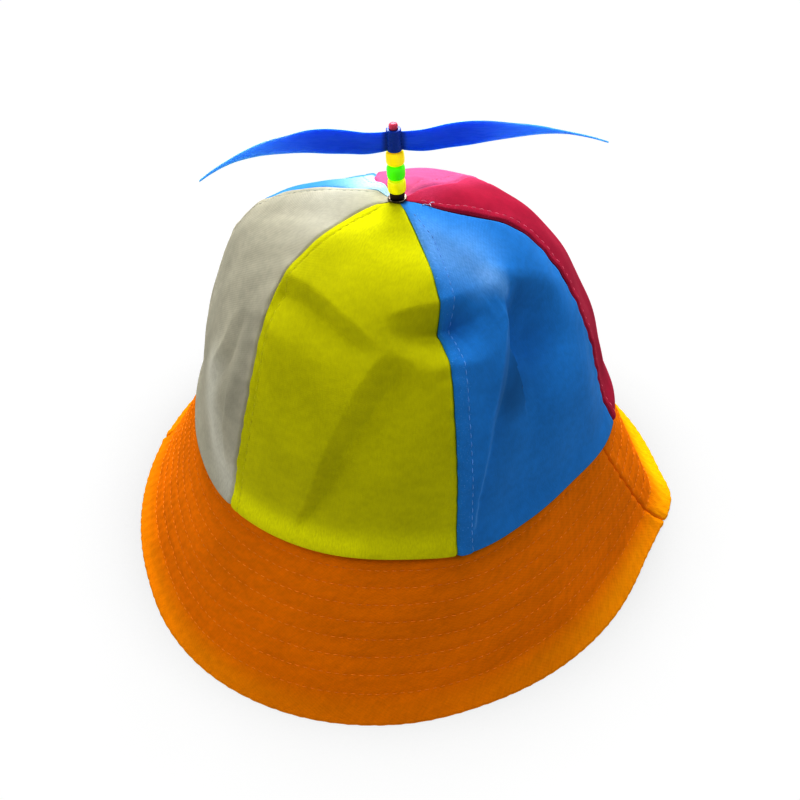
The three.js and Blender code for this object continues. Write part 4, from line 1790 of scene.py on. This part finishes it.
@dataclass
class Propeller:
    """Hub and two twisted blades, moulded in one."""

    site: Site
    finish: BladeFinish
    hub_height: float = 8.6
    hub_sides: int = 56
    reach: dict[Side, float] = field(default_factory=lambda: {Side.RIGHT: 79.0, Side.LEFT: 71.5})
    steps: int = 96
    ring: int = 28
    blade: tuple[BladeRow, ...] = (
        BladeRow(2.0, 7.4, 88.0, -0.5, 0.0, 1.6),
        BladeRow(5.0, 8.0, 89.0, -0.9, 0.1, 1.5),
        BladeRow(11.0, 8.9, 90.0, -1.0, 0.3, 1.4),
        BladeRow(18.5, 9.7, 90.0, 0.1, 0.6, 1.3),
        BladeRow(26.0, 9.9, 88.0, 0.8, 0.7, 1.2),
        BladeRow(33.0, 8.8, 85.0, 1.1, 0.9, 1.1),
        BladeRow(40.0, 7.0, 82.0, 0.7, 1.5, 1.0),
        BladeRow(50.0, 4.8, 70.0, -0.2, 2.5, 0.9),
        BladeRow(58.0, 3.0, 52.0, -2.0, 3.6, 0.8),
        BladeRow(64.0, 1.9, 38.0, -4.0, 4.8, 0.8),
        BladeRow(70.0, 1.3, 32.0, -6.6, 6.2, 0.7),
        BladeRow(BLADE_LENGTH, 0.8, 30.0, -9.3, 7.6, 0.6),
    )

    def build(self) -> bpy.types.Object:
        """Builds the propeller as one joined body.

        Returns:
            The piece.
        """
        bottom = HUB_MIDDLE - self.hub_height / 2.0
        top = HUB_MIDDLE + self.hub_height / 2.0
        outside = ((HUB_RADIUS, bottom, 0.3), (HUB_RADIUS, top, 0.35))
        hub = rounded(((BORE, bottom, 0.0), *outside, (BORE, top, 0.2)))
        parts = [lathe(hub, self.hub_sides), self.blade_mesh(Side.RIGHT), self.blade_mesh(Side.LEFT)]
        points, faces = self.union(parts)
        return add_piece("propeller_moulding", points, faces, self.finish, Body.PROPELLER, ("propeller",))

    def column(self, name: str, out: Array) -> Array:
        """Reads one column of the blade's table."""
        return smooth_curve([row.out for row in self.blade], [getattr(row, name) for row in self.blade], out)

    def blade_mesh(self, side: Side) -> Solid:
        """Lofts one blade.

        Args:
            side: Side of the hub that it stands on.

        Returns:
            Its points in millimetres and its faces.
        """
        root = self.blade[0].out
        out = np.linspace(root, BLADE_LENGTH, self.steps + 1)[:, None]
        turn = (FULL_TURN * np.arange(self.ring) / self.ring)[None, :]
        chordwise = self.column("chord", out) / 2.0 * np.cos(turn)
        through = self.column("thick", out) / 2.0 * np.sin(turn)
        pitch = np.radians(self.column("pitch", out))
        y = self.column("sweep", out) - chordwise * np.cos(pitch) - through * np.sin(pitch)
        z = HUB_MIDDLE + self.column("lift", out) + chordwise * np.sin(pitch) - through * np.cos(pitch)
        x = np.broadcast_to(root + (out - root) * self.reach[side] / BLADE_LENGTH, y.shape)
        points = np.stack([side.value * x, side.value * y, z], -1).reshape(-1, 3)
        faces = [tuple(range(self.ring - 1, -1, -1))]
        for step in range(self.steps):
            for corner in range(self.ring):
                a = step * self.ring + corner
                b = step * self.ring + (corner + 1) % self.ring
                faces.append((a, b, b + self.ring, a + self.ring))
        last = self.steps * self.ring
        faces.append(tuple(range(last, last + self.ring)))
        return points, faces

    def union(self, parts: list[Solid]) -> Solid:
        """Joins closed parts into one body without inner faces.

        Args:
            parts: Points in millimetres up the mast, and faces, of each part.

        Returns:
            Points in metres in the frame and faces.
        """
        objects = []
        for number, (points, faces) in enumerate(parts):
            mesh = bpy.data.meshes.new(f"part_{number}")
            mesh.from_pydata(self.site.place_on_mast(points).tolist(), [], faces)
            part = bpy.data.objects.new(f"part_{number}", mesh)
            bpy.context.scene.collection.objects.link(part)
            objects.append(part)
        base = objects[0]
        for other in objects[1:]:
            joint = base.modifiers.new(other.name, "BOOLEAN")
            joint.operation, joint.solver, joint.object = "UNION", "EXACT", other
        graph = bpy.context.evaluated_depsgraph_get()
        joined = bpy.data.meshes.new_from_object(base.evaluated_get(graph))
        points = np.array([vertex.co for vertex in joined.vertices])
        faces = [tuple(face.vertices) for face in joined.polygons]
        for part in objects:
            bpy.data.objects.remove(part)
        return points, faces


@dataclass(frozen=True)
class SoftLight:
    """Soft box that faces the cap."""

    name: str
    place: tuple[float, float, float]
    power: float
    size: float = 0.9

    def build(self, aim: Vector) -> None:
        """Hangs the light and turns it to the aim.

        Args:
            aim: Point that it faces, in metres.
        """
        lamp = bpy.data.lights.new(self.name, "AREA")
        lamp.shape = "RECTANGLE"
        lamp.size = self.size
        lamp.size_y = self.size
        lamp.energy = self.power
        light = bpy.data.objects.new(self.name, lamp)
        light.location = self.place
        light.rotation_euler = (aim - Vector(self.place)).to_track_quat("-Z", "Y").to_euler()
        bpy.context.scene.collection.objects.link(light)


@dataclass
class Studio:
    """Plain pale cove, soft light and the camera."""

    site: Site
    cove: tuple[tuple[float, float], ...] = ((2.2, 0.0), (2.7, 0.08), (3.1, 0.35), (3.3, 0.8), (3.3, 3.0))
    cove_sides: int = 64
    cove_glow: float = 0.985
    cove_shade: float = 0.5
    shadow_reach: float = 0.08
    shadow_range: tuple[float, float] = (0.2, 0.95)
    paper_grain: float = 60.0
    paper_tones: tuple[float, float] = (0.01, 0.02)
    sky_below: float = 0.9
    horizon: float = 0.1
    contrast: float = 1.5
    camera_back: float = 454.92
    camera_height: float = 418.98
    camera_tilt: float = 51.0
    lens: float = 63.0
    sensor: float = 36.0
    sight: tuple[float, float] = (0.01, 20.0)
    aim: tuple[float, float, float] = (0.0, 0.0, 0.08)
    lights: tuple[SoftLight, ...] = (
        SoftLight("back_box", (0.0, 1.2, 1.1), 36.0),
        SoftLight("overhead_box", (0.0, 0.0, 1.5), 5.2),
        SoftLight("back_right_box", (1.0, 0.8, 1.1), 7.5),
        SoftLight("left_box", (-1.4, 0.0, 0.7), 6.9),
        SoftLight("front_right_box", (1.0, -0.8, 1.1), 8.0),
        SoftLight("front_left_box", (-1.0, -0.8, 1.1), 6.2),
    )

    def build(self) -> None:
        """Builds the cove, the light and the camera."""
        self.build_cove()
        self.build_sky()
        for light in self.lights:
            light.build(Vector(self.aim))
        self.build_camera()
        settings = bpy.context.scene.view_settings
        settings.view_transform = "Standard"
        settings.gamma = 1.0 / self.contrast

    def build_cove(self) -> None:
        """Lays the floor, a pale glowing sheet that curves up all round, greyer beside the cap as a painted
        contact shadow.
        """
        turn = FULL_TURN * np.arange(self.cove_sides) / self.cove_sides
        points = [(0.0, 0.0, 0.0)]
        for radius, height in self.cove:
            points.extend((radius * math.cos(t), radius * math.sin(t), height) for t in turn)
        faces: Faces = []
        for side in range(self.cove_sides):
            after = (side + 1) % self.cove_sides
            faces.append((0, 1 + side, 1 + after))
            for ring in range(len(self.cove) - 1):
                low = 1 + ring * self.cove_sides
                high = low + self.cove_sides
                faces.append((low + side, high + side, high + after, low + after))
        mesh = bpy.data.meshes.new("floor_cove")
        mesh.from_pydata(points, [], faces)
        mesh.shade_smooth()
        desk = Desk("floor_paper")
        tone = desk.noise(desk.solid_place(), self.paper_grain)
        # Painted contact shadow: the floor's glow is dimmed where the cap is near
        painted_shadow = desk.add("AmbientOcclusion", samples=16)
        painted_shadow.inputs["Distance"].default_value = self.shadow_reach
        glow = desk.spread(painted_shadow.outputs["AO"], *self.shadow_range, self.cove_shade, self.cove_glow)
        dark, light = (rgba(EVEN, share) for share in self.paper_tones)
        desk.feed(desk.shader.inputs["Base Color"], desk.blend(tone, dark, light))
        desk.feed(desk.shader.inputs["Emission Strength"], glow)
        desk.set(Roughness=0.9, Specular_IOR_Level=0.0)
        desk.shader.inputs["Emission Color"].default_value = WHITE
        mesh.materials.append(desk.material)
        floor = bpy.data.objects.new("floor_cove", mesh)
        floor.visible_diffuse = False
        floor.visible_shadow = False
        bpy.context.scene.collection.objects.link(floor)

    def build_sky(self) -> None:
        """Sets even white light that comes only from below the horizon, as from the lit floor."""
        world = bpy.data.worlds.new("white_room")
        world.use_nodes = True
        tree = world.node_tree
        back = tree.nodes["Background"]
        place = tree.nodes.new("ShaderNodeTexCoord")
        split = tree.nodes.new("ShaderNodeSeparateXYZ")
        level = tree.nodes.new("ShaderNodeMapRange")
        tree.links.new(place.outputs["Generated"], split.inputs[0])
        tree.links.new(split.outputs[2], level.inputs["Value"])
        level.inputs["From Min"].default_value = -self.horizon
        level.inputs["From Max"].default_value = self.horizon
        level.inputs["To Min"].default_value = self.sky_below
        level.inputs["To Max"].default_value = 0.0
        tree.links.new(level.outputs["Result"], back.inputs["Strength"])
        back.inputs["Color"].default_value = WHITE
        bpy.context.scene.world = world

    def build_camera(self) -> None:
        """Sets the camera at the photograph's viewing angle."""
        camera = bpy.data.cameras.new("camera")
        camera.lens = self.lens
        camera.sensor_width = self.sensor
        camera.clip_start, camera.clip_end = self.sight
        view = bpy.data.objects.new("camera", camera)
        spot = np.array([0.0, -self.camera_back, self.camera_height])
        view.location = self.site.place(spot)
        view.rotation_euler = Euler((math.radians(self.camera_tilt), 0.0, 0.0))
        bpy.context.scene.collection.objects.link(view)
        bpy.context.scene.camera = view


def find_site(form: CapForm) -> Site:
    """Finds the crown's axis from the place of the propeller's joint in the frame.

    Args:
        form: Shape of the cap.

    Returns:
        The place of the crown and the mast.
    """
    turn = Matrix.Rotation(math.radians(-MAST_TILT), 4, "Y")
    foot = Vector((form.lean, 0.0, form.seam_height + form.rise))
    joint = Vector(frame["joints"][0]["pos_m"]) / MM
    mast = Matrix.Translation(foot) @ turn
    axis = joint - mast @ Vector((0.0, 0.0, HUB_MIDDLE))
    return Site(Vector((axis.x, axis.y, 0.0)), mast)


def make_gores() -> tuple[Gore, ...]:
    """Gives the six gores from the front to the right and round.

    Returns:
        The gores, with their cloth, thread and spots of painted highlight and shade.
    """
    yellow = TwillFinish(
        "yellow_twill", "cloth_yellow", (0.6, 0.588, 0.001), fleck=0.1, pale=srgb(252, 252, 10)
    )
    blue = TwillFinish(
        "blue_twill", "cloth_blue", (0.037, 0.276, 0.649), fleck=0.5, pale=srgb(164, 207, 250), sheen=0.06
    )
    rose = TwillFinish("rose_twill", "cloth_rose", (0.44, 0.023, 0.078), fleck=0.35, pale=srgb(255, 130, 180))
    pink = TwillFinish("pink_twill", "cloth_pink", (0.72, 0.18, 0.36), fleck=0.2)
    sky = TwillFinish("sky_twill", "cloth_sky", (0.09, 0.37, 0.8), fleck=0.2, pale=srgb(225, 248, 255))
    grey = TwillFinish(
        "grey_twill", "cloth_grey", (0.515, 0.494, 0.398), pale=srgb(235, 235, 225), relief=0.12, weave=0.06
    )
    # Painted highlights on the yellow gore: its lit top and a lit band along the hem
    yellow_painted_light = (
        SoftSpot(CrownLine((-35.0, -12.0, 8.0), (0.9, 0.86, 0.84)), 0.44, 16.0),
        SoftSpot(CrownLine((-42.0, -26.0, -10.0), (0.03, 0.025, 0.02)), 0.3, 5.5),
        SoftSpot(CrownLine((-42.0, -15.0, 12.0), (0.03, 0.03, 0.03)), 0.34, 6.5),
    )
    # Painted light on the grey gore: highlights on its top and lower part, and painted shade in a lower fold
    grey_painted_light = (
        SoftSpot(CrownLine((244.0, 262.0, 280.0), (0.9, 0.88, 0.84)), 0.22, 16.0),
        SoftSpot(CrownLine((318.0, 306.0, 296.0), (0.04, 0.12, 0.24)), 0.4, 9.0),
        SoftSpot(CrownLine((313.0, 312.0, 308.0), (0.26, 0.34, 0.44)), -0.3, 8.0),
    )
    # Painted light on the blue gore: highlights on its top, its knob and its long crest, painted shade in the
    # hollows
    blue_painted_light = (
        SoftSpot(CrownLine((20.0, 29.0, 40.0), (0.85, 0.79, 0.74)), 0.42, 14.0),
        SoftSpot(CrownLine((45.0, 47.0, 48.0), (0.64, 0.615, 0.59)), 0.5, 5.5),
        SoftSpot(CrownLine((22.0, 32.0, 46.0), (0.12, 0.33, 0.33)), -0.2, 11.0),
        SoftSpot(CrownLine((52.0, 46.0, 34.0), (0.54, 0.44, 0.34)), -0.45, 11.0),
        SoftSpot(CrownLine((14.0, 19.0, 24.0), (0.6, 0.6, 0.61)), -0.4, 5.0),
        SoftSpot(CrownLine((16.2, 21.5, 25.0, 31.0, 38.0), (0.06, 0.295, 0.357, 0.437, 0.506)), 0.3, 0.9),
    )
    # Painted highlights on the lit tops of the rose and sky gores
    rose_painted_light = (SoftSpot(CrownLine((136.0, 139.0, 135.0), (0.6, 0.8, 0.93)), 0.28, 7.0),)
    sky_painted_light = (SoftSpot(CrownLine((196.0, 203.0, 214.0), (0.78, 0.86, 0.93)), 0.75, 13.0),)
    return (
        Gore("crown_yellow_gore", "crown_yellow", (-41.5, -42.0, -56.0, -63.0), yellow,
             ThreadFinish("yellow_thread", "cloth_yellow", srgb(222, 222, 40)), 100, 0.4, 0.1, yellow_painted_light),
        Gore("crown_blue_gore", "crown_blue", (12.0, 13.5, 16.0, 18.0), blue,
             ThreadFinish("pale_blue_thread", "cloth_blue", srgb(120, 180, 240)), 100, 1.0, 0.1, blue_painted_light),
        Gore("crown_rose_gore", "crown_rose", (76.0, 79.0, 87.0, 75.0), rose,
             ThreadFinish("pale_rose_thread", "cloth_rose", srgb(236, 150, 172)), 70, 1.0, 0.22, rose_painted_light),
        Gore("crown_pink_gore", "crown_pink", (137.0, 140.0, 141.0, 127.0), pink,
             ThreadFinish("pink_thread", "cloth_pink", srgb(240, 120, 165)), 60, 0.25, 0.15),
        Gore("crown_sky_gore", "crown_sky", (190.0, 190.0, 192.0, 210.0), sky,
             ThreadFinish("sky_thread", "cloth_sky", srgb(150, 205, 240)), 60, 0.25, 0.15, sky_painted_light),
        Gore("crown_grey_gore", "crown_grey", (251.0, 248.0, 242.0, 236.0), grey,
             ThreadFinish("grey_thread", "cloth_grey", srgb(226, 225, 214)), 76, 0.3, 0.2, grey_painted_light),
    )


def make_dents() -> tuple[SoftSpot, ...]:
    """Gives the broad dents and bulges of the crown."""
    return (
        SoftSpot(CrownLine((92.0, 86.0, 80.0), (0.34, 0.25, 0.17)), -3.8, 22.0),
        SoftSpot(CrownLine((-92.0, -90.0, -88.0), (0.35, 0.25, 0.15)), -1.6, 24.0),
        SoftSpot(CrownLine((-112.0, -108.0, -104.0), (0.55, 0.52, 0.5)), 1.5, 18.0),
        SoftSpot(CrownLine((200.0, 180.0, 155.0), (0.9, 0.91, 0.89)), 2.4, 8.0),
        SoftSpot(CrownLine((54.0, 42.0, 30.0), (0.46, 0.3, 0.13)), -2.6, 14.0),
        SoftSpot(CrownLine((46.0, 48.0, 50.0), (0.62, 0.628, 0.63)), 1.4, 5.0),
    )


def make_creases() -> tuple[Crease, ...]:
    """Gives the folds of the crown: two each on yellow, grey and blue, and one from yellow to blue.

    Returns:
        The creases.
    """
    yellow_slant = (
        CreaseRow(-54.0, 0.635, 0.0, 0.0, 12.0, 6.5, 18.0),
        CreaseRow(-48.5, 0.648, 1.1, 2.6, 12.0, 6.5, 18.0),
        CreaseRow(-38.0, 0.662, 1.2, 2.7, 12.0, 6.0, 16.0),
        CreaseRow(-27.0, 0.653, 1.2, 2.6, 12.0, 5.5, 15.0),
        CreaseRow(-16.0, 0.618, 1.0, 2.4, 10.0, 5.0, 12.0),
        CreaseRow(-10.0, 0.585, 0.7, 1.6, 9.0, 4.5, 10.0),
        CreaseRow(-5.0, 0.548, 0.0, 0.0, 8.0, 4.5, 10.0),
    )
    yellow_long = (
        CreaseRow(-23.0, 0.035, 0.0, 0.0, 5.0, 1.5, 6.0),
        CreaseRow(-22.0, 0.077, 1.0, 1.4, 6.0, 1.6, 8.0),
        CreaseRow(-19.5, 0.154, 1.7, 2.5, 8.0, 3.5, 12.0),
        CreaseRow(-17.5, 0.243, 2.1, 3.1, 9.0, 5.2, 18.0),
        CreaseRow(-15.0, 0.332, 2.3, 3.0, 10.0, 7.0, 24.0),
        CreaseRow(-12.5, 0.397, 2.5, 3.2, 10.0, 8.0, 26.0),
        CreaseRow(-10.0, 0.457, 2.4, 2.8, 9.0, 8.5, 20.0),
        CreaseRow(-5.5, 0.528, 1.3, 2.0, 8.0, 9.0, 14.0),
        CreaseRow(-2.0, 0.565, 0.0, 0.0, 8.0, 9.0, 10.0),
    )
    grey_upper = (
        CreaseRow(-65.5, 0.215, 0.0, 0.0, 6.0, 5.0, 10.0),
        CreaseRow(-62.5, 0.290, 1.2, 2.0, 6.0, 6.0, 12.0),
        CreaseRow(-61.0, 0.340, 1.4, 2.4, 6.0, 6.0, 12.0),
        CreaseRow(-63.0, 0.400, 0.9, 1.6, 6.0, 6.0, 12.0),
        CreaseRow(-65.0, 0.450, 0.0, 0.0, 6.0, 6.0, 10.0),
    )
    grey_lower = (
        CreaseRow(-51.0, 0.300, 0.0, 0.0, 5.0, 2.5, 8.0),
        CreaseRow(-49.0, 0.255, 0.9, 1.0, 5.0, 3.0, 9.0),
        CreaseRow(-48.0, 0.200, 1.1, 1.5, 5.0, 3.0, 10.0),
        CreaseRow(-46.5, 0.145, 0.8, 1.2, 4.0, 2.6, 8.0),
        CreaseRow(-44.0, 0.080, 0.0, 0.0, 4.0, 2.5, 6.0),
    )
    across = (
        CreaseRow(-6.0, 0.640, 0.0, 0.0, 10.0, 7.0, 14.0),
        CreaseRow(0.5, 0.656, 0.6, 4.4, 10.0, 8.0, 14.0),
        CreaseRow(7.0, 0.665, 1.0, 7.2, 10.0, 8.5, 15.0),
        CreaseRow(14.0, 0.668, 1.0, 8.4, 10.0, 9.0, 15.0),
        CreaseRow(20.0, 0.664, 0.9, 8.6, 10.0, 9.5, 15.0),
        CreaseRow(27.0, 0.660, 0.7, 3.4, 9.0, 10.0, 14.0),
        CreaseRow(35.0, 0.652, 0.0, 0.0, 8.0, 10.0, 12.0),
    )
    blue_long = (
        CreaseRow(15.5, 0.030, 0.6, 0.3, 1.8, 2.0, 8.0),
        CreaseRow(17.0, 0.146, 1.3, 1.0, 1.8, 2.4, 10.0),
        CreaseRow(21.5, 0.295, 1.7, 2.2, 1.8, 5.0, 18.0),
        CreaseRow(24.5, 0.357, 1.8, 3.0, 1.9, 6.5, 24.0),
        CreaseRow(30.5, 0.437, 1.8, 3.8, 2.2, 8.0, 26.0),
        CreaseRow(37.5, 0.506, 1.8, 4.4, 3.4, 8.0, 26.0),
        CreaseRow(41.0, 0.533, 1.8, 4.4, 6.0, 8.0, 26.0),
        CreaseRow(47.0, 0.585, 1.8, 3.0, 7.0, 8.0, 24.0),
        CreaseRow(51.0, 0.625, 0.0, 0.0, 7.0, 8.0, 20.0),
    )
    blue_shoulder = (
        CreaseRow(40.0, 0.650, 0.0, 0.0, 10.0, 20.0, 28.0),
        CreaseRow(48.0, 0.640, 0.8, 6.0, 10.0, 23.0, 28.0),
        CreaseRow(56.0, 0.612, 0.9, 8.4, 10.0, 26.0, 28.0),
        CreaseRow(65.0, 0.570, 0.9, 7.4, 10.0, 26.0, 26.0),
        CreaseRow(74.0, 0.510, 0.5, 3.4, 10.0, 22.0, 24.0),
        CreaseRow(84.0, 0.420, 0.0, 0.0, 10.0, 20.0, 20.0),
    )
    sharp = (yellow_slant, yellow_long, grey_upper, grey_lower, across, blue_long)
    return (*(Crease(rows) for rows in sharp), Crease(blue_shoulder, soft=2.6))


def make_beads() -> tuple[Bead, ...]:
    """Gives the three beads from the cloth upwards.

    Returns:
        The beads, with their finishes.
    """
    colours = {"yellow": srgb(240, 236, 10), "green": srgb(100, 240, 10), "orange": srgb(255, 222, 10)}
    beads = []
    for place, (name, colour) in enumerate(colours.items()):
        finish = PlasticFinish(
            f"{name}_bead",
            f"bead_plastic_{name}",
            colour,
            deep=0.9,
            gloss=0.3,
            inner_light=0.8,
            painted_glow=0.3,
        )
        beads.append(Bead(f"bead_{name}_round", f"bead_{name}", place, finish))
    return tuple(beads)


def main() -> None:
    """Builds the cap and the studio in order."""
    logging.basicConfig(level=logging.INFO, format="%(name)s: %(message)s")
    form = CapForm()
    site = find_site(form)
    pieces = Crown(form, site, make_gores(), make_dents() + make_creases()).build()
    orange = TwillFinish(
        "orange_twill",
        "cloth_orange",
        (0.87, 0.282, 0.001),
        fleck=0.08,
        pale=srgb(255, 205, 16),
        lean=Lean.LEFT,
        sheen=0.0,
        shine=0.03,
    )
    orange_thread = ThreadFinish("orange_thread", "cloth_orange", srgb(255, 163, 38))
    pieces += Brim(form, site, orange, orange_thread).build()
    eyelet = MetalFinish("dull_eyelet", "eyelet_metal", (0.2, 0.17, 0.14), (0.06, 0.045, 0.035))
    bush = PlasticFinish("dark_bush", "bush_plastic", srgb(46, 22, 16), deep=0.6, gloss=0.4)
    pin = PlasticFinish("pink_pin", "pin_plastic", srgb(228, 84, 120), gloss=0.35, inner_light=0.2)
    pieces += Mast(site, make_beads(), eyelet, bush, pin).build()
    hub_x = site.axis.x + (site.mast @ Vector((0.0, 0.0, HUB_MIDDLE))).x
    blue = BladeFinish("blue_blade", "propeller_plastic", (0.003, 0.11, 0.68), (0.1, 0.38, 0.9), hub_x)
    pieces.append(Propeller(site, blue).build())
    Studio(site).build()
    LOG.info("%d pieces built", len(pieces))


if __name__ == "__main__":
    main()
